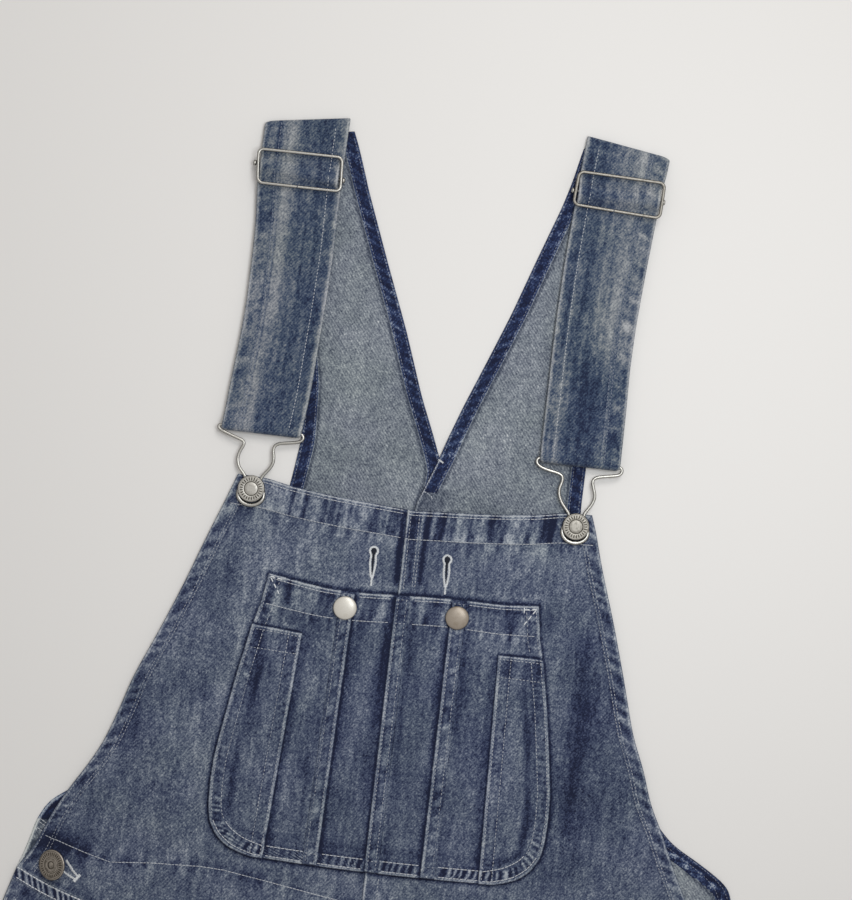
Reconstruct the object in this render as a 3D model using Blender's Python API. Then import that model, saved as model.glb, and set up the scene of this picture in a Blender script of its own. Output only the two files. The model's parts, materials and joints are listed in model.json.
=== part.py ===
"""Denim bib dungarees laid flat on a surface, the straps folded forward and hooked to the bib.

The source is written in millimetres in the garment's own frame: x is to the right, d is down from the
bib's top corners and z is up from the surface. at() turns these into Blender's metres. Every panel is a
grid between two edges, and its underside follows one shared height function, so that pieces lie on each
other with GAP between them.
"""

import math

import bpy
from mathutils import Vector

MM = 0.001
CLOTH = 1.2  # thickness of the denim
LAP = 0.8  # thickness of a narrow lapped band
GAP = 0.3  # between one piece and the next
STEP = CLOTH + GAP  # how far one layer lifts the next
WEB = 1.6  # thickness of a strap, two plies
WIRE = 2.0  # diameter of the hook's and slider's wire
SEGMENTS = 28  # round a button

for old in list(bpy.data.objects):
    bpy.data.objects.remove(old)


# ---------------------------------------------------------------- helpers


def at(x, d, z):
    """A point of the garment's frame, in millimetres, as Blender's metres."""
    return (x * MM, -d * MM, z * MM)


def smooth(low, high, value):
    """0 below low and 1 above high, with an even ease between them."""
    t = min(1.0, max(0.0, (value - low) / (high - low)))
    return t * t * (3 - 2 * t)


def read(table, d, column):
    """A table's column at d, straight between its rows, whose first column is d."""
    if d <= table[0][0]:
        return table[0][column]
    for above, below in zip(table, table[1:]):
        if d <= below[0]:
            share = (d - above[0]) / (below[0] - above[0])
            return above[column] + share * (below[column] - above[column])
    return table[-1][column]


def ridges(table, x, d):
    """The lift of soft folds. A row is one fold: from x, from d, to x, to d, half-width, height."""
    lift = 0.0
    for x0, d0, x1, d1, width, height in table:
        along, down = x1 - x0, d1 - d0
        t = ((x - x0) * along + (d - d0) * down) / (along * along + down * down)
        t = min(1.0, max(0.0, t))
        off = math.hypot(x - x0 - t * along, d - d0 - t * down)
        lift += height * math.exp(-((off / width) ** 2))
    return lift


def solid(name, points, faces):
    """One closed mesh object from points in the garment's frame."""
    mesh = bpy.data.meshes.new(name)
    mesh.from_pydata([at(*p) for p in points], [], faces)
    mesh.validate()
    thing = bpy.data.objects.new(name, mesh)
    bpy.context.collection.objects.link(thing)
    return thing


def panel(name, grid, height, thick=CLOTH, hole=None):
    """A cloth panel. grid has rows of (x, d) from the top down, each from left to right.

    height gives the underside. hole is the row and column of a cell that is left open.
    """
    rows, columns = len(grid), len(grid[0])
    flat = [p for row in grid for p in row]
    points = [(x, d, height(x, d) + thick) for x, d in flat]
    points += [(x, d, height(x, d)) for x, d in flat]
    under = len(flat)

    def index(i, j):
        return i * columns + j

    faces = []
    for i in range(rows - 1):
        for j in range(columns - 1):
            a, b = index(i, j), index(i, j + 1)
            c, e = index(i + 1, j + 1), index(i + 1, j)
            if (i, j) == hole:
                loop = [a, b, c, e]
                for m, n in zip(loop, loop[1:] + loop[:1]):
                    faces.append((n, m, m + under, n + under))
            else:
                faces += [(a, e, c, b), (a + under, b + under, c + under, e + under)]
    rim = [index(0, j) for j in range(columns)]
    rim += [index(i, columns - 1) for i in range(1, rows)]
    rim += [index(rows - 1, j) for j in range(columns - 2, -1, -1)]
    rim += [index(i, 0) for i in range(rows - 2, 0, -1)]
    for m, n in zip(rim, rim[1:] + rim[:1]):
        faces.append((m, n, n + under, m + under))
    return solid(name, points, faces)


def shares(places):
    """Where places lie between the first and the last of them, from 0 to 1."""
    return [(p - places[0]) / (places[-1] - places[0]) for p in places]


def grid_of(downs, left, right, across, bend, first=()):
    """Rows of (x, d) between the edges left(d) and right(d), each place with its true d, bend(x, d).

    first has the distances of some columns from the left edge, and across the shares of what is left.
    """
    grid = []
    for d in downs:
        start = left(d) + (first[-1] if first else 0)
        row = [left(d) + f for f in first[:-1]]
        row += [start + share * (right(d) - start) for share in across]
        grid.append([(x, bend(x, d)) for x in row])
    return grid


def steps(low, high, count):
    return [low + (high - low) * k / (count - 1) for k in range(count)]


def open_cell(grid, x, d, half):
    """Moves the corners of the inner cell nearest (x, d) to a square round it, and names that cell."""

    def miss(cell):
        i, j = cell
        corners = [grid[i][j], grid[i][j + 1], grid[i + 1][j], grid[i + 1][j + 1]]
        return math.hypot(
            sum(p[0] for p in corners) / 4 - x, sum(p[1] for p in corners) / 4 - d
        )

    cells = [
        (i, j) for i in range(1, len(grid) - 2) for j in range(1, len(grid[0]) - 2)
    ]
    i, j = min(cells, key=miss)
    for m, down in ((i, -half), (i + 1, half)):
        for n, side in ((j, -half), (j + 1, half)):
            grid[m][n] = (x + side, d + down)
    return i, j


def lathe(name, profile, foot, axis=(0, 0, 1), segments=SEGMENTS):
    """A turned piece. profile has rows of radius and distance along the axis, both ends on the axis."""
    up = Vector(axis).normalized()
    side = up.orthogonal().normalized()
    other = up.cross(side)
    base = Vector(foot)
    points = [base + up * profile[0][1]]
    for radius, along in profile[1:-1]:
        for k in range(segments):
            turn = 2 * math.pi * k / segments
            out = side * math.cos(turn) + other * math.sin(turn)
            points.append(base + up * along + out * radius)
    points.append(base + up * profile[-1][1])
    last = len(points) - 1
    faces = []
    for k in range(segments):
        n = (k + 1) % segments
        faces.append((0, 1 + n, 1 + k))
        top = last - segments
        faces.append((last, top + k, top + n))
        for ring in range(len(profile) - 3):
            a = 1 + ring * segments
            faces.append((a + k, a + n, a + n + segments, a + k + segments))
    # at() turns d into -y, which turns the faces round
    return solid(name, [tuple(p) for p in points], [f[::-1] for f in faces])


def wire(name, points, closed):
    """A bent round wire through points of the garment's frame."""
    curve = bpy.data.curves.new(name, "CURVE")
    curve.dimensions = "3D"
    curve.bevel_depth = WIRE / 2 * MM
    curve.bevel_resolution = 2
    curve.use_fill_caps = True
    spline = curve.splines.new("POLY")
    spline.points.add(len(points) - 1)
    for place, p in zip(spline.points, points):
        place.co = (*at(*p), 1)
    spline.use_cyclic_u = closed
    thing = bpy.data.objects.new(name, curve)
    bpy.context.collection.objects.link(thing)
    return thing


# ---------------------------------------------------------------- shape of the garment

# down, left edge, right edge of the bib, with its armholes and side openings
BIB = [
    (0, -116, 116),
    (12, -120, 120.3),
    (31, -127, 125.5),
    (52, -134.6, 132.6),
    (72, -141.4, 139.3),
    (104, -153.8, 149.1),
    (139, -168.5, 159),
    (161, -175, 168.9),
    (183, -182.5, 176.1),
    (198, -190.2, 184.3),
    (212, -199, 190.5),
    (225, -206.5, 196.6),
    (241, -213.9, 205),
    (253, -218.9, 213),
    (266, -227, 222),
    (271, -229, 228),
]
# distance from the centre, and how far the bib's top edge dips there
BIB_DIP = [(0, 10.5), (40, 8), (57, 6.5), (80, 4), (97, 0.6), (116, 0)]

# down, armhole or side edge, neckline or centre edge of each upper back half
BACK_LEFT = [
    (-226, -123.5, -66.7),
    (-199, -115, -55.2),
    (-149, -98, -35.6),
    (-105, -87, -17.9),
    (-64, -79.5, -3.1),
    (-40, -78.3, 7.2),
    (-26.4, -77.8, 12.7),
    (-16, -79.2, 16.5),
    (-5, -80.5, 15.2),
    (5.4, -82, 11.3),
    (40, -88, 8.5),
    (90, -103, 7),
    (140, -128, 6),
    (182, -160, 6),
    (209, -190, 6),
    (225, -213, 6),
    (238, -220, 6),
    (250, -223, 6),
    (267, -228, 6),
    (271, -229.5, 6),
]
BACK_RIGHT = [
    (-232.6, 83, 137),
    (-214, 78.7, 131),
    (-195, 72.7, 126.5),
    (-160, 60.7, 119.5),
    (-124, 48.8, 113.5),
    (-91, 36.4, 110.5),
    (-61, 24.8, 109),
    (-38, 16.8, 108.6),
    (-26.4, 13.3, 108.6),
    (-5, 5.2, 108.4),
    (5.4, 1.3, 109),
    (40, -1.5, 112),
    (90, -3, 123),
    (140, -4, 143),
    (170, -4, 163),
    (198, -4, 184),
    (208, -4, 194),
    (215, -4, 208),
    (221.5, -4, 219),
    (230, -4, 232),
    (237.5, -4, 235),
    (250, -4, 237),
    (271, -4, 238.5),
]

# down, left leg's side and inner edge, right leg's inner edge and side
LEGS = [
    (271, -229.5, 0, 0, 238.5),
    (293, -236, 0, 0, 241),
    (330, -243, 0, 0, 246),
    (400, -251, 0, 0, 254),
    (480, -257, 0, 0, 260),
    (556, -261, 0, 0, 263),
    (571, -262, -0.6, 0.6, 263.6),
    (590, -262.6, -6, 5.5, 264),
    (640, -264, -11, 10.5, 265.6),
    (740, -267, -19, 17, 268),
    (860, -272, -30, 26, 271),
    (980, -279, -40, 34, 275),
    (1100, -287, -49, 43, 281),
    (1228, -295, -57, 51, 288),
]
# the same as LEGS, for the fronts' sides where the side openings leave the backs
FRONT_SIDES = [(271, -229, 228), (293, -235.6, 238), (330, -243, 246)]

# down, half-width of the chest pocket, its lower corners rounded
POCKET = [
    (61, 88.5),
    (84, 92),
    (95.5, 95.3),
    (131, 102),
    (163, 107),
    (184, 110),
    (200, 110.6),
    (215, 110),
    (225.3, 108.2),
    (234.3, 103),
    (241, 95),
    (244, 87.8),
    (245.4, 80),
]
# down, left edge, right edge of each raised band on the pocket
BANDS = {
    "a": [(61, -40, -31), (245.4, -45, -35.5)],
    "b": [(61, -4.5, 4.5), (245.4, -4.5, 4.5)],
    "c": [(61, 32, 41.5), (245.4, 32, 41.5)],
}

# soft folds: from x, from d, to x, to d, half-width, height
BIB_FOLDS = [
    (123, 90, 130, 180, 9, 1.8),
    (-150, 170, -128, 235, 12, 1.2),
    (168, 215, 145, 262, 12, 1.5),
]
LEG_FOLDS = [
    (-14, 566, -96, 508, 15, 3.1),
    (-34, 603, -168, 572, 18, 2.6),
    (-212, 690, -118, 752, 20, 2.3),
    (-66, 838, -186, 880, 21, 3.0),
    (-232, 905, -128, 938, 18, 2.2),
    (-150, 1040, -168, 1170, 20, 2.4),
    (12, 560, 118, 524, 16, 2.8),
    (26, 596, 140, 594, 17, 3.0),
    (226, 742, 132, 704, 19, 2.4),
    (58, 862, 160, 842, 20, 2.9),
    (96, 934, 214, 912, 21, 2.5),
    (128, 1060, 118, 1188, 21, 2.6),
]


def waist(x):
    """The waist seam's d at x: lowest at the centre, and rising towards the sides."""
    return 300 - 29 * min(1.0, abs(x) / 228) ** 4


def bib_bend(x, d):
    """A bib row bent to the dipped top edge above and to the waist seam below."""
    top = read(BIB_DIP, abs(x), 1) * (1 - smooth(0, 110, d))
    return d + top + (waist(x) - GAP / 2 - 271) * smooth(130, 271, d)


def back_bend(x, d):
    return d + (waist(x) - GAP / 2 - 271) * smooth(130, 271, d)


def leg_bend(x, d):
    return d + (waist(x) + GAP / 2 - 271) * (1 - smooth(271, 520, d))


def plateau(x, d):
    """The fronts ride over the lapped back seam, and come down again below the waist."""
    return STEP * (1 - smooth(50, 100, abs(x - 5))) * (1 - smooth(300, 430, d))


def front_height(x, d):
    return STEP + plateau(x, d) + ridges(BIB_FOLDS, x, d)


def leg_height(x, d):
    """The front legs' underside. Folds flatten out towards the seams and the hem."""
    side = read(LEGS, d, 1 if x < 0 else 4)
    inner = read(LEGS, d, 2 if x < 0 else 3)
    near = min(abs(x - side), abs(x - inner))
    edge = smooth(0, 26, near) * smooth(0, 30, d - waist(x)) * smooth(0, 26, 1228 - d)
    return STEP + plateau(x, d) + ridges(LEG_FOLDS, x, d) * edge


def pocket_height(x, d):
    """The pocket clears the bib and its centre lap."""
    return front_height(x, d) + STEP + STEP * (1 - smooth(12, 78, abs(x)))


# The columns where two panels meet at the waist seam, from each side in to near the centre.
FRONT_SEAM = {"left": steps(-229, -57, 10), "right": steps(57, 228, 10)}
BACK_SEAM = {"left": steps(-229.5, -57, 6), "right": steps(57, 238.5, 6)}

# ---------------------------------------------------------------- backs

DOWN_BACK = [-205, -180, -160, -140, -122, -105, -90, -75, -61, -50]
DOWN_BACK += [-44, -38, -32, -26.4, -16, -5, 5.4, 22, 40, 65, 90, 115, 140, 162, 182]
DOWN_BACK += [198, 208, 216, 225, 232, 238, 250, 260, 271]


def left_back_bend(x, d):
    """The tip's end is cut along the fold above it."""
    return back_bend(x, d) - 0.15 * (x + 95) * (1 - smooth(-226, -190, d))


def right_back_bend(x, d):
    return back_bend(x, d) + 0.15 * (x - 110) * (1 - smooth(-232.6, -195, d))


def right_back_height(x, d):
    """The right half laps over the left's edge below the neckline's point."""
    edge = read(BACK_RIGHT, d, 1)
    return STEP * smooth(-46, -30, d) * (1 - smooth(edge + 10.5, edge + 20.7, x))


panel(
    "back_left",
    grid_of(
        [-226] + DOWN_BACK,
        lambda d: read(BACK_LEFT, d, 1),
        lambda d: read(BACK_LEFT, d, 2),
        shares(BACK_SEAM["left"] + [-36, -15, 6]),
        left_back_bend,
    ),
    lambda x, d: 0.0,
)
panel(
    "back_right",
    grid_of(
        [-232.6, -214] + DOWN_BACK[1:],
        lambda d: read(BACK_RIGHT, d, 1),
        lambda d: read(BACK_RIGHT, d, 2),
        shares([16.8, 36] + BACK_SEAM["right"]),
        right_back_bend,
        first=(0, 5, 10.6, 15.6, 20.8),
    ),
    right_back_height,
)

# ---------------------------------------------------------------- legs

DOWN_LEG = steps(271, 571, 17) + steps(590, 1228, 31)
DOWN_BACK_LEG = [271, 293, 330, 400, 480, 556, 571, 590, 640, 740, 860, 980, 1100, 1228]


def leg_edge(d, column, front):
    """A leg's edge, a hair from the other leg's at the centre."""
    if front and d < 330 and column in (1, 4):
        return read(FRONT_SIDES, d, 1 if column == 1 else 2)
    value = read(LEGS, d, column)
    return value + {2: -GAP / 2, 3: GAP / 2}.get(column, 0)


for side, low, high in (("left", 1, 2), ("right", 3, 4)):
    for front, downs, seam, inner in (
        (False, DOWN_BACK_LEG, BACK_SEAM, [GAP / 2, 28]),
        (True, DOWN_LEG, FRONT_SEAM, [GAP / 2, 19, 38]),
    ):
        if side == "left":
            places = seam[side] + [-x for x in reversed(inner)]
        else:
            places = inner + seam[side]
        panel(
            ("front" if front else "back") + "_leg_" + side,
            grid_of(
                downs,
                lambda d, low=low, front=front: leg_edge(d, low, front),
                lambda d, high=high, front=front: leg_edge(d, high, front),
                shares(places),
                leg_bend,
            ),
            leg_height if front else (lambda x, d: 0.0),
        )

# ---------------------------------------------------------------- bib

DOWN_BIB = steps(0, 271, 23)
BUTTON_AT = (106, 8.5)
SIDE_BUTTON_AT = (206, 266.5)
SNAP_AT = (36.4, 77)

left_bib = grid_of(
    DOWN_BIB,
    lambda d: read(BIB, d, 1),
    lambda d: 5.0,
    shares(FRONT_SEAM["left"] + [-41, -25, -9, 5]),
    bib_bend,
)
hole = open_cell(left_bib, -SIDE_BUTTON_AT[0], SIDE_BUTTON_AT[1], 4.5)
panel("bib_front_left", left_bib, front_height, hole=hole)


def right_bib_height(x, d):
    """The right half laps over the left at the centre front."""
    return front_height(x, d) + STEP * (1 - smooth(5.3, 15.6, x))


right_bib = grid_of(
    DOWN_BIB,
    lambda d: -5.0,
    lambda d: read(BIB, d, 2),
    shares([15.8, 29, 43] + FRONT_SEAM["right"]),
    bib_bend,
    first=(0, 5, 10.4, 15.5, 20.8),
)
hole = open_cell(right_bib, *SIDE_BUTTON_AT, 4.5)
panel("bib_front_right", right_bib, right_bib_height, hole=hole)


# ---------------------------------------------------------------- pockets


def pocket_bend(x, d):
    """The pocket's top edge dips like the bib's, and its lower edge sags a little."""
    middle = 1 - min(1.0, abs(x) / 88.5) ** 2
    return d + 5 * middle * (1 - smooth(61, 110, d)) + 1.5 * middle * smooth(180, 245, d)


DOWN_POCKET = [61, 72, 84, 95.5, 107, 119, 131, 147, 163, 174, 184, 200, 215]
DOWN_POCKET += [225.3, 234.3, 241, 244, 245.4]

panel(
    "chest_pocket",
    grid_of(
        DOWN_POCKET,
        lambda d: -read(POCKET, d, 1),
        lambda d: read(POCKET, d, 1),
        steps(0, 1, 17),
        pocket_bend,
    ),
    pocket_height,
)
for mark, band in BANDS.items():
    panel(
        "pocket_strip_" + mark,
        grid_of(
            steps(62, 244.6, 17),
            lambda d, band=band: read(band, d, 1),
            lambda d, band=band: read(band, d, 2),
            (0, 0.5, 1),
            pocket_bend,
        ),
        lambda x, d: pocket_height(x, d) + STEP,
        LAP,
    )

DOWN_SMALL = [d for d in DOWN_POCKET if d >= 95.5]
SMALL_LEFT = [(95.5, -62), (245.4, -71)]
SMALL_RIGHT = [(95.5, 65.6), (245.4, 70)]


def small_pocket_height(x, d):
    return pocket_height(x, d) + STEP


panel(
    "small_pocket_left",
    grid_of(
        DOWN_SMALL,
        lambda d: -read(POCKET, d, 1),
        lambda d: read(SMALL_LEFT, d, 1),
        steps(0, 1, 5),
        pocket_bend,
    ),
    small_pocket_height,
    1.0,
)
panel(
    "small_pocket_right",
    grid_of(
        DOWN_SMALL,
        lambda d: read(SMALL_RIGHT, d, 1),
        lambda d: read(POCKET, d, 1),
        steps(0, 1, 5),
        pocket_bend,
    ),
    small_pocket_height,
    1.0,
)

# ---------------------------------------------------------------- straps, sliders and hooks

# down, left edge, right edge of each strap
STRAP_LEFT = [
    (-234, -125, -70.2),
    (-186, -125.6, -71),
    (-150, -124.6, -70.6),
    (-113, -124.8, -72),
    (-57, -128, -75),
    (-36, -129.9, -77.2),
    (-29, -130.1, -77.9),
]
STRAP_RIGHT = [
    (-240, 84.3, 139.2),
    (-221, 82.4, 137.2),
    (-188, 80.3, 134.3),
    (-164, 78.9, 132.8),
    (-124, 77.6, 131.2),
    (-38, 77.6, 130.2),
    (-31, 77.9, 130),
]
BAR_Z = 4.4  # height of the cross bars' centres
FRAME_Z = 7.5  # height of the slider frame's centre
TURN = WIRE / 2 + GAP + WEB / 2  # from a bar's centre to the middle of the web round it


def arc(d, z, radius, start, end, count):
    """Places round a bar or a fold. The angle is 0 towards +d and 90 straight up."""
    return [
        (
            d + radius * math.cos(math.radians(turn)),
            z + radius * math.sin(math.radians(turn)),
        )
        for turn in steps(start, end, count)
    ]


def strap_path(fold, bar, hook):
    """The middle line of a strap: back tip, fold, over the slider bar, round the hook, back to the bar."""
    low, high = STEP + WEB / 2, STEP + WEB + GAP + WEB / 2
    path = [(fold + 7.2, 0.8), (fold + 4, 0.8)]
    path += arc(fold + 1.1, 1.85, 1.05, -90, -270, 7)
    path += [(fold + 6, 3.0), (bar - 18, 3.8), (bar - 12, high), (bar - 8, 4.5)]
    path += [(bar - 5, 6.4), (bar - 2.6, 8.3), (bar, 8.55), (bar + 2.6, 8.3)]
    path += [(bar + 5, 6.4), (bar + 8, 4.5), (bar + 13, high)]
    path += [(d, high) for d in steps(bar + 30, hook - 20, 7)]
    path += [(hook - 12, high), (hook - 7, 4.9), (hook - 3, 6.2)]
    path += arc(hook, BAR_Z, TURN, 90, -90, 8)
    path += [(d, low) for d in steps(hook - 8, bar + 8, 7)]
    path += arc(bar, BAR_Z, TURN, -90, -295, 9)
    return path


def strap(name, table, path, bar, tilt, fold, fold_tilt):
    """A folded web. tilt and fold_tilt turn its rows to the skewed bar and to the fold's line."""
    count = 4
    sections = []
    for k, (d, z) in enumerate(path):
        before, after = path[max(0, k - 1)], path[min(len(path) - 1, k + 1)]
        run, rise = after[0] - before[0], after[1] - before[1]
        length = math.hypot(run, rise)
        normal = (-rise / length * WEB / 2, run / length * WEB / 2)
        returning = k > 31
        tuck = 1.2 if returning else 0.0
        pinch = 4.2 * (1 - smooth(5, 9, abs(d - bar)))
        left = read(table, d, 1) + max(tuck, pinch)
        right = read(table, d, 2) - max(tuck, pinch)
        middle = (left + right) / 2
        near_bar = 1 - smooth(3, 8, abs(d - bar))
        near_fold = 1 - smooth(fold + 8, fold + 24, d)
        lean = tilt * near_bar + fold_tilt * near_fold * (1 - near_bar)
        ring = []
        for sign, order in ((1, range(count)), (-1, range(count - 1, -1, -1))):
            for j in order:
                x = left + (right - left) * j / (count - 1)
                ring.append(
                    (x, d + lean * (x - middle) + sign * normal[0], z + sign * normal[1])
                )
        sections.append(ring)
    around = 2 * count
    points = [p for ring in sections for p in ring]
    faces = []
    for k in range(len(sections) - 1):
        a = k * around
        for j in range(around):
            n = (j + 1) % around
            faces.append((a + n, a + j, a + around + j, a + around + n))
    end = (len(sections) - 1) * around
    for j in range(count - 1):
        faces.append((j, j + 1, around - 2 - j, around - 1 - j))
        faces.append(
            (end + around - 1 - j, end + around - 2 - j, end + j + 1, end + j)
        )
    return solid(name, points, faces)


def slider(side, left, right, bar, tilt, gap_at):
    """A wire frame whose ends meet in its lower side, and a cross bar with knobs under its sides."""
    half, corner = 10.0, 3.5
    top, low = bar - half, bar + half
    loop = [(gap_at + 0.3, low), (right - corner, low)]

    def bend(x, d, start):
        return [
            (
                x + corner * math.cos(math.radians(turn)),
                d + corner * math.sin(math.radians(turn)),
            )
            for turn in steps(start, start - 90, 5)
        ]

    loop = [(gap_at + 0.3, low)] + bend(right - corner, low - corner, 90)
    loop += bend(right - corner, top + corner, 0)
    loop += bend(left + corner, top + corner, -90)
    loop += bend(left + corner, low - corner, -180) + [(gap_at - 0.3, low)]
    wire("slider_frame_" + side, [(x, d, FRAME_Z) for x, d in loop], False)
    middle = (left + right) / 2
    start = Vector((left - 4.6, bar + tilt * (left - 4.6 - middle), BAR_Z))
    end = Vector((right + 4.6, bar + tilt * (right + 4.6 - middle), BAR_Z))
    long = (end - start).length
    knob = [(0, 0), (1.6, 0.15), (2.5, 0.9), (2.5, 2.2), (1.0, 3.0)]
    profile = knob + [(r, long - s) for r, s in reversed(knob)]
    lathe("slider_bar_" + side, profile, start, end - start, 12)


# the hook's wire, as placed from the left bib button's centre line: x, d
HOOK = [
    (-24.6, -29),
    (28.6, -29),
    (29.7, -28.6),
    (30.3, -27.5),
    (30.3, -26.1),
    (29.5, -25),
    (27.8, -24.6),
    (24, -24.4),
    (20, -23.9),
    (14.5, -22.9),
    (12, -21.6),
    (10.9, -19.6),
    (11.2, -16.5),
    (12.4, -12),
    (11.8, -7.5),
    (9.4, -3.2),
    (6, 0.1),
    (4.9, 2.2),
    (5.6, 4.6),
    (7, 7),
    (8.1, 9.4),
    (8.5, 12),
    (7.9, 15.2),
    (6.1, 17.9),
    (3.4, 19.8),
    (0, 20.5),
    (-3.4, 19.8),
    (-6.1, 17.9),
    (-7.9, 15.2),
    (-8.5, 12),
    (-8.1, 9.4),
    (-7, 7),
    (-5.6, 4.6),
    (-4.9, 2.2),
    (-5.6, 0.1),
    (-8, -3),
    (-10.6, -6.5),
    (-11.6, -10),
    (-11.2, -13.5),
    (-9.4, -17.2),
    (-8, -19.8),
    (-8.6, -21.9),
    (-11, -23.2),
    (-15, -24),
    (-20, -24.4),
    (-23.6, -24.6),
    (-25.8, -25.2),
    (-27, -26.4),
    (-27.1, -27.8),
    (-26.3, -28.7),
]


def hook(side, turn, drop):
    """A bent wire hook round the bib button's neck. turn is -1 on the right, which mirrors it."""
    points = []
    for x, d in HOOK:
        lift = BAR_Z - 0.4 * smooth(-20, 0, d)
        points.append((turn * (x - 106), d + drop * (1 - smooth(-24, -6, d)), lift))
    wire("hook_" + side, points, True)


LEFT = {"fold": -233.5, "fold_tilt": -0.15, "bar": -199.5, "tilt": 0.085, "hook": -29.0}
RIGHT = {"fold": -240.0, "fold_tilt": 0.15, "bar": -207.6, "tilt": 0.017, "hook": -31.5}
for side, table, place in (
    ("left", STRAP_LEFT, LEFT),
    ("right", STRAP_RIGHT, RIGHT),
):
    strap(
        "strap_" + side,
        table,
        strap_path(place["fold"], place["bar"], place["hook"]),
        place["bar"],
        place["tilt"],
        place["fold"],
        place["fold_tilt"],
    )
slider("left", -126, -73, LEFT["bar"], LEFT["tilt"], -99.5)
slider("right", 82.5, 135, RIGHT["bar"], RIGHT["tilt"], 106.5)
hook("left", 1, 0)
hook("right", -1, -2.5)

# ---------------------------------------------------------------- buttons and snaps

# radius, height above the piece's foot
BIB_BUTTON = [(0, 0), (3.4, 0), (3.4, 2.3), (8.1, 2.3), (8.75, 2.8), (8.6, 3.5)]
BIB_BUTTON += [(7.4, 4.0), (5, 4.2), (4.6, 4.6), (0, 4.7)]
SIDE_BUTTON = [(0, 0), (2.2, 0), (2.2, 5.3), (9.3, 5.3), (10, 5.8), (9.9, 6.5)]
SIDE_BUTTON += [(8.8, 7.0), (5.4, 7.0), (4.8, 7.4), (0, 7.5)]
SNAP = [(0, 0), (7.2, 0), (7.65, 0.5), (7.4, 1.2), (6, 1.9), (3.4, 2.3), (0, 2.4)]
LEAN = math.radians(25)

for side, sign in (("left", -1), ("right", 1)):
    x, d = sign * BUTTON_AT[0], BUTTON_AT[1]
    lathe("bib_button_" + side, BIB_BUTTON, (x, d, front_height(x, d) + STEP))
    x, d = sign * SNAP_AT[0], SNAP_AT[1]
    lathe("snap_" + side, SNAP, (x, d, pocket_height(x, d) + STEP + LAP + GAP + 0.15))
    x, d = sign * SIDE_BUTTON_AT[0], SIDE_BUTTON_AT[1]
    lean = (sign * math.sin(LEAN), 0, math.cos(LEAN))
    lathe("side_button_" + side, SIDE_BUTTON, (x, d, STEP + 1.0), lean)

# ---------------------------------------------------------------- the shared frame

# The bounding box's centre goes to x = y = 0 and its lowest point to z = 0.
bpy.context.view_layer.update()
graph = bpy.context.evaluated_depsgraph_get()
low, high = Vector((1e9,) * 3), Vector((-1e9,) * 3)
for thing in bpy.data.objects:
    shown = thing.evaluated_get(graph)
    for vertex in shown.to_mesh().vertices:
        for k in range(3):
            low[k] = min(low[k], vertex.co[k])
            high[k] = max(high[k], vertex.co[k])
    shown.to_mesh_clear()
move = Vector((-(low.x + high.x) / 2, -(low.y + high.y) / 2, -low.z))
for thing in bpy.data.objects:
    thing.location = move
print("moved by", [round(v / MM, 3) for v in move], "mm")
print("size", [round(v / MM, 2) for v in high - low], "mm")
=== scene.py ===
# %% [markdown]
# # Denim bib dungarees, laid flat
#
# A garment laid out on a pale floor and seen from straight above, framed close on its upper half.
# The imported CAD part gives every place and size. This script puts dressed cloth in place of each plain
# solid: thin shells with hems, puckers and soft folds, sewn rows of real stitches, and washed denim.
# Sizes are in millimetres in the garment's own frame: x to the right, d down from the bib's top corners
# and z up from the floor. The straps' folds and the wires follow the same named sizes as the CAD.

import json
import math

import bpy
import numpy as np
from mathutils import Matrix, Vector
from mathutils.bvhtree import BVHTree

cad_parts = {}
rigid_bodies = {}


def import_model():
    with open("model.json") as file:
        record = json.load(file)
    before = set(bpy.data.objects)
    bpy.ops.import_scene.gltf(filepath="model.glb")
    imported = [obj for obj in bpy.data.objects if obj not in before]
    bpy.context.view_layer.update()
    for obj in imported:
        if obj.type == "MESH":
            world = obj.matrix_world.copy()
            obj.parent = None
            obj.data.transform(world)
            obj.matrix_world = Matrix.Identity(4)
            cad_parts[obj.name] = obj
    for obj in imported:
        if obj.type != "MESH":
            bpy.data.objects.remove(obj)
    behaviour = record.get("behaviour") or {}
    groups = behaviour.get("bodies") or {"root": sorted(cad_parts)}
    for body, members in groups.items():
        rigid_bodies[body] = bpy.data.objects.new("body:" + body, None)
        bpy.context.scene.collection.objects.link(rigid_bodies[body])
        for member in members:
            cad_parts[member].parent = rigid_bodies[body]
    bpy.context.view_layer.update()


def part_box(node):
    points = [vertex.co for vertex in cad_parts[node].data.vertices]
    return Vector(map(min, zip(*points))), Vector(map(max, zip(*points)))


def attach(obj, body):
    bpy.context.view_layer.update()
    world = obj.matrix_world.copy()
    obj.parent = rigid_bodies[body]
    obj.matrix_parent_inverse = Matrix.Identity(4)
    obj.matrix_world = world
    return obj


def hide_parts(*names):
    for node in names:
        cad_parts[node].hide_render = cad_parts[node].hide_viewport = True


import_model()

# %% [markdown]
# The left snap's place in the CAD tells where the garment's frame lies in the row's frame, so nothing
# here has to be moved by hand when the CAD is packed again.

# %% The garment's frame
# how thick cloth, a pocket band's lap, the air between layers, a strap's web and wire are
CLOTH, LAP, GAP, WEB, WIRE = 1.2, 0.8, 0.3, 1.6, 2.0
STEP = CLOTH + GAP  # from one layer of cloth to the next
HEM_WIDE = 9.0  # the sewn band along side edges, the neckline and the legs' seams
MIDDLE_MM = 500  # the sum of a box's two sides, in metres, to its middle, in mm
SNAP_AT, BUTTON_AT, SIDE_BUTTON_AT = (36.4, 77.0), (106.0, 8.5), (206.0, 266.5)

low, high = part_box("snap_left")
OX = (low[0] + high[0]) * MIDDLE_MM + SNAP_AT[0]
OY = (low[1] + high[1]) * MIDDLE_MM + SNAP_AT[1]
print("garment frame's origin at", round(OX, 2), round(OY, 2), "mm")


def place(x, d, z):
    """Points of the garment's frame, in mm, as the row frame's metres."""
    x, d, z = np.broadcast_arrays(x, d, z)
    return np.stack([(x + OX) / 1000, (OY - d) / 1000, z / 1000], -1)


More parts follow.
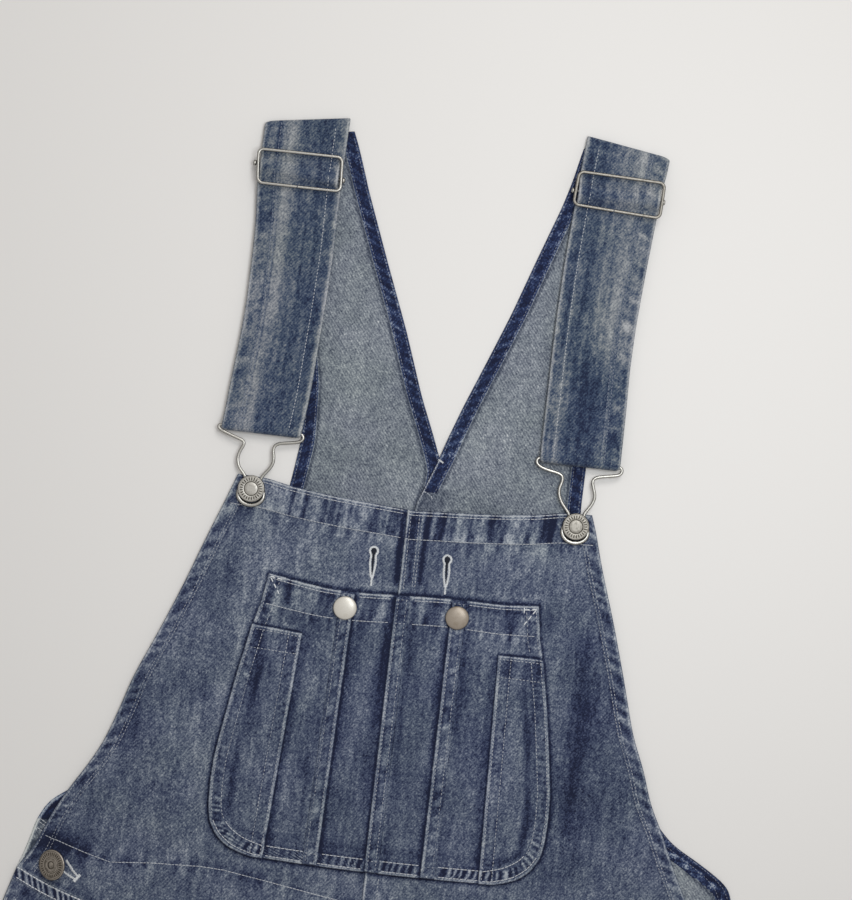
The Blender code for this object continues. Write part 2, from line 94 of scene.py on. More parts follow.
def smooth(low, high, value):
    """0 below low, 1 above high, with an even ease between them."""
    t = np.clip((np.asarray(value, float) - low) / (high - low), 0, 1)
    return t * t * (3 - 2 * t)


def bell(v, centre, width):
    """1 at the centre, falling off softly: about a third left one width away."""
    return np.exp(-(((v - centre) / width) ** 2))


def read(table, d, column, soften=5.0):
    """A table's column at d, with its corners softened. The first column is d."""
    rows = np.array(table, float)
    x, y = rows[:, 0], rows[:, column]
    first, last = (y[1] - y[0]) / (x[1] - x[0]), (y[-1] - y[-2]) / (x[-1] - x[-2])
    x = np.concatenate([[x[0] - 40], x, [x[-1] + 40]])
    y = np.concatenate([[y[0] - 40 * first], y, [y[-1] + 40 * last]])
    d = np.asarray(d, float)
    return sum(
        w * np.interp(d + k * soften, x, y)
        for k, w in ((-2, 0.1), (-1, 0.2), (0, 0.4), (1, 0.2), (2, 0.1))
    )


def ridges(table, x, d):
    """The lift of soft folds. A row is from x, from d, to x, to d, half-width, height."""
    lift = 0.0
    for x0, d0, x1, d1, width, height in table:
        off, _ = near([(x0, d0), (x1, d1)], x, d)
        lift = lift + height * bell(off, 0, width)
    return lift


def near(line, x, d):
    """How far each place is from a line of (x, d) points, and how far along it."""
    best = np.full(np.broadcast(x, d).shape, 1e9)
    where = np.zeros_like(best)
    run = 0.0
    for (x0, d0), (x1, d1) in zip(line[:-1], line[1:]):
        u, v = x1 - x0, d1 - d0
        length = math.hypot(u, v)
        t = np.clip(((x - x0) * u + (d - d0) * v) / (length * length), 0, 1)
        off = np.hypot(x - x0 - t * u, d - d0 - t * v)
        closer = off < best
        best = np.where(closer, off, best)
        where = np.where(closer, run + t * length, where)
        run += length
    return best, where


def wander(t, seed, step):
    """A soft uneven curve between -1 and 1 with a new value about every step."""
    table = np.random.default_rng(seed).uniform(-1, 1, 1024)
    t = np.asarray(t, float) / step + 300
    k = np.floor(t).astype(int)
    f = smooth(0, 1, t - k)
    return table[k % 1024] * (1 - f) + table[(k + 1) % 1024] * f


def pucker(t, seed, period):
    """Puckers of a sewn edge between -1 and 1: uneven in pace and strength, with crisp sides."""
    wave = np.cos(2 * math.pi * (np.asarray(t, float) / period + 0.4 * wander(t, seed, period * 1.7)))
    wave = np.sign(wave) * np.abs(wave) ** 0.7
    wave = wave * (0.72 + 0.28 * wander(t, seed + 1, period * 1.3))
    return wave + 0.35 * wander(t, seed + 2, period * 0.35)


def mottle(x, d, seed, wide, tall):
    """Soft uneven patches between -1 and 1, wide across and tall down."""
    table = np.random.default_rng(seed).uniform(-1, 1, (256, 256))
    u, v = x / wide + 100, d / tall + 100
    i, j = np.floor(u).astype(int), np.floor(v).astype(int)
    f, g = smooth(0, 1, u - i), smooth(0, 1, v - j)
    a, b = table[i % 256, j % 256], table[(i + 1) % 256, j % 256]
    c, e = table[i % 256, (j + 1) % 256], table[(i + 1) % 256, (j + 1) % 256]
    return (a * (1 - f) + b * f) * (1 - g) + (c * (1 - f) + e * f) * g


def fades(table, x, d):
    """Listed pale (+) and dark (-) patches: x, d, half-width, half-height, amount."""
    total = 0.0
    for cx, cd, rx, rd, amount in table:
        total = total + amount * np.exp(-(((x - cx) / rx) ** 2) - ((d - cd) / rd) ** 2)
    return total


def streaks(table, x, d):
    """Listed pale or dark lines: from x, from d, to x, to d, half-width, amount."""
    total = 0.0
    for x0, d0, x1, d1, width, amount in table:
        off, _ = near([(x0, d0), (x1, d1)], x, d)
        total = total + amount * bell(off, 0, width)
    return total


# %% [markdown]
# ## Materials
# Washed denim is indigo warp over white weft. The wash has taken the dye off the high places, so one
# ramp from deep indigo to worn white is read by one number: the yarn's own unevenness in layers, plus
# the wear that each piece carries as a point attribute, pale on crests and edges and dark in valleys.
# That attribute also carries painted shade: dark lines beside raised hems, folds and sewn-on pieces and
# in stitched furrows, where real shade would fall.

# %% Material helpers
def hexed(code):
    """An sRGB hex colour as linear RGBA."""
    parts = [int(code[i : i + 2], 16) / 255 for i in (1, 3, 5)]
    return tuple(c / 12.92 if c < 0.04045 else ((c + 0.055) / 1.055) ** 2.4 for c in parts) + (1.0,)


def add(tree, kind, settings=None, links=None):
    """Adds a node. settings are its properties or sockets, and links the outputs that feed its sockets."""
    node = tree.nodes.new(kind)
    for key, value in (settings or {}).items():
        if isinstance(key, str) and hasattr(node, key):
            setattr(node, key, value)
        else:
            node.inputs[key].default_value = value
    for key, source in (links or {}).items():
        tree.links.new(source, node.inputs[key])
    return node


def material(name, **shader):
    """A new material with its shader's constant values, and its node tree."""
    made = bpy.data.materials.new(name)
    made.use_nodes = True
    tree = made.node_tree
    bsdf = tree.nodes["Principled BSDF"]
    for key, value in shader.items():
        bsdf.inputs[key.replace("_", " ")].default_value = value
    return made, tree, bsdf


# %% [markdown]
# The denims. The real twill's lines are under 1 mm apart, finer than a pixel, so they are drawn about
# 1.8 mm apart: up to the right on the face, and up to the left on the wrong side. The crossing of blue
# and white yarns reads as salt and pepper, a noise with cells near 1 mm. Slubs are thick places in the
# warp, so their noise is stretched along the garment. Two more point attributes give the distance from a
# folded edge and from a pocket's rim: a fold wears pale, and beside a sewn-on piece the cloth is painted
# dark, partly as the lint and dye that gather there and partly as painted shadow of the piece's edge. As
# they are distances, the lines that they draw stay crisp however coarse the mesh is.

# %% Denim
REACH = 9.0
# how much a fold's own cloth is worn, and how dark the cloth beside a sewn-on piece is painted, partly dirt
# and partly painted shadow: mm away, amount
FOLD = [(0, -0.12), (0.3, 0.04), (0.6, 0.34), (1.3, 0.3), (1.9, 0.0), (3.2, -0.09), (4.6, 0.0), (9, 0)]
CONTACT_SHADE_AND_DIRT = [(0, -0.5), (1.0, -0.46), (1.8, -0.16), (2.8, -0.02), (4.6, 0.06), (7, 0.02), (9, 0)]


def denim(name, ramp, grain, slub, twill, patch, lean=1, edge=1.0, bump=0.4, lift=0.0):
    """Twill cloth. ramp has places and colours; grain, slub, twill and patch weigh the layers."""
    made, tree, bsdf = material(name, Roughness=0.88, Sheen_Weight=0.12, Sheen_Roughness=0.6)
    bsdf.inputs["Specular IOR Level"].default_value = 0.18
    where = add(tree, "ShaderNodeTexCoord").outputs["Object"]
    layers = []

    def noise(scale, weight, detail=2.0, rough=0.55):
        spread = add(tree, "ShaderNodeMapping", {"Scale": scale}, {0: where})
        settings = {"Scale": 1.0, "Detail": detail, "Roughness": rough}
        grains = add(tree, "ShaderNodeTexNoise", settings, {"Vector": spread.outputs[0]})
        layers.append((grains.outputs["Fac"], weight))

    noise((860, 780, 700), grain, 2.0, 0.9)
    noise((430, 330, 300), grain * 0.38, 1.0)
    noise((320, 60, 200), slub, 1.0)
    noise((150, 14, 100), slub * 0.4, 1.0)
    noise((28, 22, 20), patch, 3.0)
    slant = add(tree, "ShaderNodeMapping", {"Rotation": (0, 0, lean * math.radians(38))}, {0: where})
    settings = {"Scale": 178.0, "Distortion": 2.5, "Detail": 2.0, "Detail Scale": 3.0, "wave_profile": "SIN"}
    ribs = add(tree, "ShaderNodeTexWave", settings, {"Vector": slant.outputs[0]})
    layers.append((ribs.outputs["Fac"], twill))
    for attribute, stops in (("fold", FOLD), ("contact", CONTACT_SHADE_AND_DIRT)):
        far = add(tree, "ShaderNodeAttribute", {"attribute_name": attribute})
        drawn = add(tree, "ShaderNodeValToRGB", {}, {"Fac": far.outputs["Fac"]})
        steps = drawn.color_ramp.elements
        while len(steps) < len(stops):
            steps.new(0.5)
        for step, (away, amount) in zip(steps, sorted(stops, reverse=True)):
            step.position, step.color = 1 - away / REACH, (0.5 + amount / 2,) * 3 + (1.0,)
        layers.append((drawn.outputs["Color"], 2.0 * edge))
    worn = add(tree, "ShaderNodeAttribute", {"attribute_name": "wear"})
    total = add(tree, "ShaderNodeMath", {"operation": "ADD", 1: 0.5 + lift}, {0: worn.outputs["Fac"]})
    for source, weight in layers:
        centred = add(tree, "ShaderNodeMath", {"operation": "SUBTRACT", 1: 0.5}, {0: source})
        scaled = {"operation": "MULTIPLY_ADD", 1: weight}
        total = add(tree, "ShaderNodeMath", scaled, {0: centred.outputs[0], 2: total.outputs[0]})
    spread = add(tree, "ShaderNodeMath", {"operation": "DIVIDE", 1: 1.2}, {0: total.outputs[0]})
    colours = add(tree, "ShaderNodeValToRGB", {}, {"Fac": spread.outputs[0]})
    steps = colours.color_ramp.elements
    while len(steps) < len(ramp):
        steps.new(0.5)
    for step, (at, code) in zip(steps, ramp):
        step.position, step.color = at / 1.2, hexed(code)
    slow = add(tree, "ShaderNodeTexNoise", {"Scale": 24.0, "Detail": 2.0}, {"Vector": where})
    settings = {"From Min": 0.35, "From Max": 0.65}
    share = add(tree, "ShaderNodeMapRange", settings, {"Value": slow.outputs["Fac"]})
    settings = {"data_type": "RGBA", "blend_type": "MULTIPLY", 7: hexed("#F7FAF5")}
    tint = add(tree, "ShaderNodeMix", settings, {0: share.outputs[0], 6: colours.outputs[0]})
    tree.links.new(tint.outputs[2], bsdf.inputs["Base Color"])
    rough = add(tree, "ShaderNodeBump", {"Strength": bump, "Distance": 0.0004}, {"Height": total.outputs[0]})
    tree.links.new(rough.outputs["Normal"], bsdf.inputs["Normal"])
    return made


FACE_RAMP = [(0.0, "#121A37"), (0.2, "#2B3555"), (0.5, "#525C73"), (0.75, "#7D8595"), (1.1, "#B4B9C2")]
WRONG_RAMP = [(0.0, "#3C4456"), (0.3, "#666D7B"), (0.55, "#848B95"), (0.8, "#A4AAB1"), (1.0, "#D0D3D6")]
# Washed indigo twill, face out: the main cloth.
face_cloth = denim("denim_face", FACE_RAMP, 1.6, 0.45, 0.12, 0.3)
# The same cloth's wrong side: more white weft, so paler and greyer, with a clearer twill.
wrong_cloth = denim("denim_wrong_side", WRONG_RAMP, 1.6, 0.2, 0.2, 0.15, lean=-1, lift=-0.05)
# Turned hems show the face's unworn dye, a clear indigo.
HEM_RAMP = [(0.0, "#0F1633"), (0.3, "#1A274B"), (0.55, "#2C3B62"), (0.8, "#566586"), (1.0, "#A3ACBB")]
hem_cloth = denim("denim_turned_hem", HEM_RAMP, 2.1, 0.4, 0.16, 0.4, edge=0.8, lift=-0.22)
# The straps are cut from strongly streaked cloth, washed paler in places.
STRAP_RAMP = [(0.0, "#18223F"), (0.25, "#33435F"), (0.5, "#5D6777"), (0.75, "#848890"), (1.1, "#B0B2B6")]
strap_cloth = denim("denim_strap", STRAP_RAMP, 1.45, 0.25, 0.14, 0.06, edge=0.9, lift=0.06)
FACE_OUT = [face_cloth, wrong_cloth]
print("denims made")

# %% [markdown]
# Sewing thread is cotton-wrapped polyester: off-white and dulled by the wash on the bib and pocket, dyed
# blue on the back's hems and the straps, and thick and still bright in buttonholes and the waist seam.
# The wires are nickel plate, drawn and tumbled: satin, not mirror. The bib buttons are stamped and plated,
# with dark patina left in the hollows, and the right one and its slider are duller. The waist buttons are
# antique brass. The snap caps are metal under a thin satin coat, so they look only partly metallic.

# %% Thread, metal and snap materials
def plated(name, colour, dark, rough, scale=900.0, share=0.35, metallic=1.0, rim="#3B3935"):
    """Satin metal whose plating has thin dull places, and whose colour is painted darker where it curves
    away: a painted shade at its edges.
    """
    made, tree, bsdf = material(name, Metallic=metallic, Roughness=rough)
    where = add(tree, "ShaderNodeTexCoord").outputs["Object"]
    spots = add(tree, "ShaderNodeTexNoise", {"Scale": scale, "Detail": 3.0}, {"Vector": where})
    mix = add(tree, "ShaderNodeValToRGB", {}, {"Fac": spots.outputs["Fac"]})
    steps = mix.color_ramp.elements
    steps[0].position, steps[0].color = 0.5 - share, hexed(dark)
    steps[1].position, steps[1].color = 0.5, hexed(colour)
    turned = add(tree, "ShaderNodeLayerWeight", {"Blend": 0.5})
    span = {"From Min": 0.15, "From Max": 0.62}
    painted_edge_shade = add(tree, "ShaderNodeMapRange", span, {"Value": turned.outputs["Facing"]})
    links = {0: painted_edge_shade.outputs[0], 6: mix.outputs["Color"]}
    both = add(tree, "ShaderNodeMix", {"data_type": "RGBA", 7: hexed(rim)}, links)
    tree.links.new(both.outputs[2], bsdf.inputs["Base Color"])
    span = {"To Min": rough + 0.12, "To Max": rough - 0.05}
    dull = add(tree, "ShaderNodeMapRange", span, {"Value": spots.outputs["Fac"]})
    tree.links.new(dull.outputs["Result"], bsdf.inputs["Roughness"])
    return made


def yarn(name, colour, dull):
    """Sewing thread, each stitch a little cleaner or duller than the next."""
    made, tree, bsdf = material(name, Roughness=0.75, Sheen_Weight=0.2)
    worn = add(tree, "ShaderNodeAttribute", {"attribute_name": "wear"})
    mix = add(tree, "ShaderNodeValToRGB", {}, {"Fac": worn.outputs["Fac"]})
    steps = mix.color_ramp.elements
    steps[0].position, steps[0].color = 0.0, hexed(dull)
    steps[1].position, steps[1].color = 0.8, hexed(colour)
    tree.links.new(mix.outputs["Color"], bsdf.inputs["Base Color"])
    return made


thread = yarn("thread_off_white", "#CDD1D6", "#8A93A0")
dyed_thread = yarn("thread_dyed_by_wash", "#8E96A8", "#465072")
bright_thread = yarn("thread_buttonhole_white", "#E9ECEE", "#C3C8CE")
# The last colour of each metal, given or the default, is its painted shade where it curves away.
nickel = plated("nickel_wire", "#CBC9C3", "#A9A69F", 0.34)
stamped = plated("nickel_button", "#C6C3BC", "#97938B", 0.45, 700.0)
dulled = plated("nickel_button_dulled", "#ABA79F", "#7E7A72", 0.5, 700.0)
patina = plated("button_patina", "#4F4C46", "#37342F", 0.6, 500.0)
brass = plated("antique_brass", "#AEA69C", "#6B645B", 0.42, 420.0, 0.3)
brass_dark = plated("antique_brass_patina", "#5A534A", "#38332D", 0.6, 420.0)
ivory = plated("snap_satin_ivory", "#DDD9D0", "#CFCABF", 0.34, 300.0, 0.35, 0.35, "#8D877D")
beige = plated("snap_satin_beige", "#A2978A", "#8F8271", 0.36, 300.0, 0.35, 0.35, "#5F564A")
# painted shade: the dark of a buttonhole's opening
shade, _, _ = material("buttonhole_slit_shade", Base_Color=hexed("#1A1F2C"), Roughness=0.95)
print("thread and metal made")

# %% [markdown]
# ## Cloth shells and stitches
# Each piece of cloth is a closed thin shell: a grid between two edges, a little rounded at the rim. Its
# underside follows the CAD's height, and its top carries the hems, puckers and folds.

# %% Shell helpers
TOPS, SHEETS, PIECES = {}, {}, {}
EDGE = (0.0, 0.3, 0.8, 1.6)


def lines(low, high, step, extra=()):
    """Places from low to high about step apart, closer at both ends and at each extra place."""
    count = max(2, int(math.ceil((high - low) / step)) + 1)
    values = list(np.linspace(low, high, count))
    values += [low + e for e in EDGE] + [high - e for e in EDGE]
    values += [e + f for e in extra for f in (-0.3, 0.3)]
    values = sorted(v for v in values if low - 1e-6 <= v <= high + 1e-6)
    kept = [values[0]]
    for v in values[1:]:
        if v - kept[-1] > 0.24:
            kept.append(v)
    kept[-1] = high
    return np.array(kept)


class Grid:
    """Places (X, D) between two edges, with the distance of each from the left, right, top and bottom."""

    def __init__(self, downs, left, right, bend, step, edges=EDGE):
        downs = np.asarray(downs, float)[:, None]
        a, b = left(downs), right(downs)
        count = max(3, int(math.ceil(float((b - a).max()) / step)))
        inner = np.linspace(0, 1, count)
        start, end = a + edges[-1], b - edges[-1]
        columns = [a + e for e in edges[:-1]] + [start + s * (end - start) for s in inner]
        columns += [b - e for e in edges[:-1][::-1]]
        self.X = np.hstack(columns)
        self.flat = downs + 0 * self.X
        self.L, self.R = self.X - a, b - self.X
        near_l = self.L / np.hypot(1, np.gradient(a, axis=0) / np.gradient(downs, axis=0))
        near_r = self.R / np.hypot(1, np.gradient(b, axis=0) / np.gradient(downs, axis=0))
        self.T, self.B = self.flat - downs[0], downs[-1] - self.flat
        self.D = bend(self.X, self.flat)
        self.E = np.minimum(np.minimum(near_l, near_r), np.minimum(self.T, self.B))


def shell(name, top, under, wear, materials, pick=None, away=None, contact=None):
    """A closed mesh from a top and an under grid. pick marks top faces that take materials[2].
    away and contact are distances in mm from the nearest fold and from a piece sewn on top."""
    rows, cols = top.shape[:2]
    count = rows * cols
    points = np.concatenate([top.reshape(-1, 3), under.reshape(-1, 3)])
    index = np.arange(count).reshape(rows, cols)
    a, b, c, e = index[:-1, :-1], index[:-1, 1:], index[1:, 1:], index[1:, :-1]
    upper = np.stack([a, e, c, b], -1).reshape(-1, 4)
    lower = np.stack([a, b, c, e], -1).reshape(-1, 4) + count
    rim = np.concatenate([index[0, :], index[1:, -1], index[-1, -2::-1], index[-2:0:-1, 0]])
    after = np.roll(rim, -1)
    side = np.stack([rim, after, after + count, rim + count], -1)
    mesh = bpy.data.meshes.new(name)
    mesh.from_pydata(points.tolist(), [], np.concatenate([upper, lower, side]).tolist())
    for made in materials:
        mesh.materials.append(made)
    marks = np.zeros(len(mesh.polygons), int)
    marks[len(upper) : 2 * len(upper)] = 1
    if pick is not None:
        marks[: len(upper)] = np.where(pick.reshape(-1), 2, 0)
    if len(materials) > 1:
        mesh.polygons.foreach_set("material_index", marks)
    mesh.shade_smooth()
    for key, far in (("wear", None), ("fold", away), ("contact", contact)):
        if far is not None or key == "wear":
            value = wear if key == "wear" else 1 - np.clip(far / REACH, 0, 1)
            both = np.concatenate([value.reshape(-1)] * 2).astype(np.float32)
            mesh.attributes.new(key, "FLOAT", "POINT").data.foreach_set("value", both)
    made = bpy.data.objects.new(name, mesh)
    bpy.context.collection.objects.link(made)
    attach(made, "root")
    TOPS[name] = BVHTree.FromPolygons(points.tolist(), np.concatenate([upper, lower, side]).tolist())
    PIECES[name] = made
    return made


def panel(name, grid, base, thick, relief, wear, materials, pick=None, away=None, contact=None):
    """A laid panel: underside at base, top at base + thick + relief, both rounded in at the rim."""
    e = 1 - np.clip(grid.E / 0.9, 0, 1)
    round_ = np.sqrt(np.clip(1 - e * e, 0, 1))
    top = place(grid.X, grid.D, base + thick * (0.5 + 0.5 * round_) + relief * round_)
    under = place(grid.X, grid.D, base + thick * (0.5 - 0.5 * round_))
    made = shell(name, top, under, wear, materials, pick, grid.E if away is None else away, contact)
    width, length = np.ptp(grid.X) / 1000, np.ptp(grid.D) / 1000
    x, d = grid.X, grid.D
    across = x[:-1, 1:] - x[:-1, :-1] + x[1:, 1:] - x[1:, :-1]
    down_it = d[1:, :-1] - d[:-1, :-1] + d[1:, 1:] - d[:-1, 1:]
    SHEETS[name] = (width, length, float((across / 2 * down_it / 2).sum()) * 1e-6)
    return made


def hem(E, A, width, seed, lift=0.5, period=9.0, rope=0.5):
    """Lift and wear of a turned and sewn edge at distance E, along A: a raised band, roped by the wash, with
    a line of painted shade just past its inner edge.
    """
    inside = 1 - smooth(width - 0.4, width + 0.5, E)
    belly = np.clip(np.sin(np.pi * np.clip(E / width, 0, 1)), 0, 1) ** 0.6
    twist = pucker(A + 0.6 * E, seed, period)
    rise = inside * (lift + 0.25 * twist * belly)
    worn = inside * rope * twist * belly
    # painted shade: a dark line just past the hem's inner edge, beside the raised band
    worn = worn - 0.16 * bell(E - width, 0.9, 1.1)
    return rise, worn


def along(inset, table, column, downs, bend, sign=1):
    """A row of places beside a table's edge: inset from the edge, bent as the panel is."""
    x = read(table, downs, column) + sign * inset
    return np.stack([x, bend(x, downs)], -1)


def stitches(name, piece, rows, made_of=None, pitch=2.3, wide=0.58, side=1, seed=1, clean=0.7, fill=0.84):
    """Sewn rows on a piece: each stitch a small spindle of thread lying on the cloth's surface."""
    tree = TOPS[piece]
    rng = np.random.default_rng(seed)
    points, faces, cleaner = [], [], []
    for row in rows:
        row = np.asarray(row, float)
        seg = np.hypot(*np.diff(row, axis=0).T)
        run = np.concatenate([[0], np.cumsum(seg)])
        count = max(1, int(run[-1] / pitch))
        starts = (np.arange(count) + 0.5 - fill / 2) * run[-1] / count + rng.uniform(-0.1, 0.1, count)
        ends = starts + run[-1] / count * rng.uniform(fill - 0.07, fill + 0.07, count)
        level = clean + 0.3 * wander(starts, seed + 7, 14)
        for start, end, worn in zip(starts, ends, level):
            ring = []
            for t in (start, start * 0.75 + end * 0.25, start * 0.25 + end * 0.75, end):
                ring.append((np.interp(t, run, row[:, 0]), np.interp(t, run, row[:, 1])))
            ux, ud = ring[3][0] - ring[0][0], ring[3][1] - ring[0][1]
            size = math.hypot(ux, ud) or 1.0
            vx, vd = -ud / size * wide / 2, ux / size * wide / 2
            heights = []
            for x, d in ring:
                px, py, _ = place(x, d, 0)
                hit = tree.ray_cast(Vector((px, py, 0.1 * side)), Vector((0, 0, -side)))[0]
                heights.append(None if hit is None else hit.z * 1000)
            if None in heights:
                continue
            base = len(points)
            if side < 0:
                heights = [max(z, 0.36) for z in heights]
            points.append((*ring[0], heights[0] - 0.1 * side))
            for (x, d), z in zip(ring[1:3], heights[1:3]):
                foot = z - 0.04 * side
                points += [(x + vx, d + vd, foot), (x, d, z + 0.26 * side), (x - vx, d - vd, foot)]
            points.append((*ring[3], heights[3] - 0.1 * side))
            for k in range(3):
                n = (k + 1) % 3
                faces += [(base, base + 1 + n, base + 1 + k), (base + 7, base + 4 + k, base + 4 + n)]
                faces.append((base + 1 + k, base + 1 + n, base + 4 + n, base + 4 + k))
            cleaner += [worn + rng.uniform(-0.2, 0.2)] * 8
    array = np.array(points)
    mesh = bpy.data.meshes.new(name)
    order = 1 if side > 0 else -1
    mesh.from_pydata(place(array[:, 0], array[:, 1], array[:, 2]).tolist(), [], [f[::order] for f in faces])
    mesh.materials.append(made_of or thread)
    mesh.shade_smooth()
    cleaner = np.clip(cleaner, 0, 1).astype(np.float32)
    mesh.attributes.new("wear", "FLOAT", "POINT").data.foreach_set("value", cleaner)
    made = bpy.data.objects.new(name, mesh)
    bpy.context.collection.objects.link(made)
    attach(made, "root")
    PIECES[name] = made
    return made


# %% [markdown]
# ## Sizes shared with the CAD
# These tables are the ones the solids were built from: edges of the bib, backs, legs and pocket, then
# the folds. d is down from the bib's top corners.

# %% Tables of the garment
# down, left edge, right edge of the bib
BIB = [
    (0, -116, 116), (12, -120, 120.3), (31, -127, 125.5), (52, -134.6, 132.6), (72, -141.4, 139.3),
    (104, -153.8, 149.1), (139, -168.5, 159), (161, -175, 168.9), (183, -182.5, 176.1),
    (198, -190.2, 184.3), (212, -199, 190.5), (225, -206.5, 196.6), (241, -213.9, 205),
    (253, -218.9, 213), (266, -227, 222), (271, -229, 228),
]  # fmt: skip
# distance from the centre, dip of the bib's top edge
BIB_DIP = [(0, 10.5), (40, 8), (57, 6.5), (80, 4), (97, 0.6), (116, 0)]
# down, armhole or side edge, neckline or centre edge of the upper backs
BACK_LEFT = [
    (-226, -123.5, -66.7), (-199, -115, -55.2), (-149, -98, -35.6), (-105, -87, -17.9), (-64, -79.5, -3.1),
    (-40, -78.3, 7.2), (-26.4, -77.8, 12.7), (-16, -79.2, 16.5), (-5, -80.5, 15.2), (5.4, -82, 11.3),
    (40, -88, 8.5), (90, -103, 7), (140, -128, 6), (182, -160, 6), (209, -190, 6), (225, -213, 6),
    (238, -220, 6), (250, -223, 6), (267, -228, 6), (271, -229.5, 6),
]  # fmt: skip
BACK_RIGHT = [
    (-232.6, 83, 137), (-214, 78.7, 131), (-195, 72.7, 126.5), (-160, 60.7, 119.5), (-124, 48.8, 113.5),
    (-91, 36.4, 110.5), (-61, 24.8, 109), (-38, 16.8, 108.6), (-26.4, 13.3, 108.6), (-5, 5.2, 108.4),
    (5.4, 1.3, 109), (40, -1.5, 112), (90, -3, 123), (140, -4, 143), (170, -4, 163), (198, -4, 184),
    (208, -4, 194), (215, -4, 208), (221.5, -4, 219), (230, -4, 232), (237.5, -4, 235), (250, -4, 237),
    (271, -4, 238.5),
]  # fmt: skip
# down, left leg's side and inner edge, right leg's inner edge and side
LEGS = [
    (271, -229.5, 0, 0, 238.5), (293, -236, 0, 0, 241), (330, -243, 0, 0, 246), (400, -251, 0, 0, 254),
    (480, -257, 0, 0, 260), (556, -261, 0, 0, 263), (571, -262, -0.6, 0.6, 263.6),
    (590, -262.6, -6, 5.5, 264),
    (640, -264, -11, 10.5, 265.6), (740, -267, -19, 17, 268), (860, -272, -30, 26, 271),
    (980, -279, -40, 34, 275), (1100, -287, -49, 43, 281), (1228, -295, -57, 51, 288),
]  # fmt: skip
FRONT_SIDES = [(271, -229, 228), (293, -235.6, 238), (330, -243, 246)]
# down, half-width of the pocket
POCKET = [
    (61, 88.5), (84, 92), (95.5, 95.3), (131, 102), (163, 107), (184, 110), (200, 110.6), (215, 110),
    (225.3, 108.2), (234.3, 103), (241, 95), (244, 87.8), (245.4, 80),
]  # fmt: skip
# down, left edge, right edge of the raised bands
BANDS = {
    "a": [(61, -40, -31), (245.4, -45, -35.5)],
    "b": [(61, -4.5, 4.5), (245.4, -4.5, 4.5)],
    "c": [(61, 32, 41.5), (245.4, 32, 41.5)],
}
SMALL_LEFT = [(95.5, -62), (245.4, -71)]
SMALL_RIGHT = [(95.5, 65.6), (245.4, 70)]
# from x, from d, to x, to d, half-width, height
BIB_FOLDS = [(123, 90, 130, 180, 9, 1.8), (-150, 170, -128, 235, 12, 1.2), (168, 215, 145, 262, 12, 1.5)]
LEG_FOLDS = [
    (-14, 566, -96, 508, 15, 3.1), (-34, 603, -168, 572, 18, 2.6), (-212, 690, -118, 752, 20, 2.3),
    (-66, 838, -186, 880, 21, 3.0), (-232, 905, -128, 938, 18, 2.2), (-150, 1040, -168, 1170, 20, 2.4),
    (12, 560, 118, 524, 16, 2.8), (26, 596, 140, 594, 17, 3.0), (226, 742, 132, 704, 19, 2.4),
    (58, 862, 160, 842, 20, 2.9), (96, 934, 214, 912, 21, 2.5), (128, 1060, 118, 1188, 21, 2.6),
]  # fmt: skip


def waist(x):
    """The waist seam's d at x."""
    return 300 - 29 * np.minimum(1.0, np.abs(x) / 228) ** 4


def pulled(x, d):
    """How far the curved waist seam pulls a row down: early in the middle, and only low at the sides."""
    side = smooth(115, 190, np.abs(x))
    return (waist(x) - GAP / 2 - 271) * (smooth(130, 271, d) * (1 - side) + smooth(236, 271, d) * side)


def bib_bend(x, d):
    """A bib row bent to the dipped top edge above and to the waist seam below."""
    top = read(BIB_DIP, np.abs(x), 1, 3.0) * (1 - smooth(0, 110, d))
    return d + top + pulled(x, d)


def back_bend(x, d):
    return d + pulled(x, d)


def leg_bend(x, d):
    return d + (waist(x) + GAP / 2 - 271) * (1 - smooth(271, 520, d))


def plateau(x, d):
    """The fronts ride over the lapped back seam."""
    return STEP * (1 - smooth(50, 100, np.abs(x - 5))) * (1 - smooth(300, 430, d))


def front_height(x, d):
    return STEP + plateau(x, d) + ridges(BIB_FOLDS, x, d)


def leg_height(x, d):
    """The front legs' underside. Folds flatten out towards the seams and the hem."""
    side = np.where(x < 0, read(LEGS, d, 1), read(LEGS, d, 4))
    inner = np.where(x < 0, read(LEGS, d, 2), read(LEGS, d, 3))
    close = np.minimum(np.abs(x - side), np.abs(x - inner))
    edge = smooth(0, 26, close) * smooth(0, 30, d - waist(x)) * smooth(0, 26, 1228 - d)
    return STEP + plateau(x, d) + ridges(LEG_FOLDS, x, d) * edge


def pocket_height(x, d):
    """The pocket clears the bib and its centre lap."""
    return front_height(x, d) + STEP + STEP * (1 - smooth(12, 78, np.abs(x)))


# how far the washed pocket top strays from its sewn line: x, mm down
TOP_STRAY = [
    (-88.5, 0.3), (-70, 1.4), (-53, 2.5), (-31, 1.9), (-5, -0.2), (10, -0.6), (28, -1.3), (47, -0.4),
    (63, 1.0), (88, 1.4),
]  # fmt: skip


def pocket_bend(x, d):
    middle = 1 - np.minimum(1.0, np.abs(x) / 88.5) ** 2
    stray = read(TOP_STRAY, x, 1, 4.0) * (1 - smooth(80, 150, d))
    return d + 5 * middle * (1 - smooth(61, 110, d)) + stray + 1.5 * middle * smooth(180, 245, d)


def half(d):
    """The pocket's half-width at d."""
    return read(POCKET, d, 1, 1.5)


print("tables read")

# %% [markdown]
# ## The bib
# Two halves meet under the centre lap. The armholes have 9 mm hems, roped dark and pale by the wash,
# and the top has a faced band, streaked across where its two layers shrank unevenly.

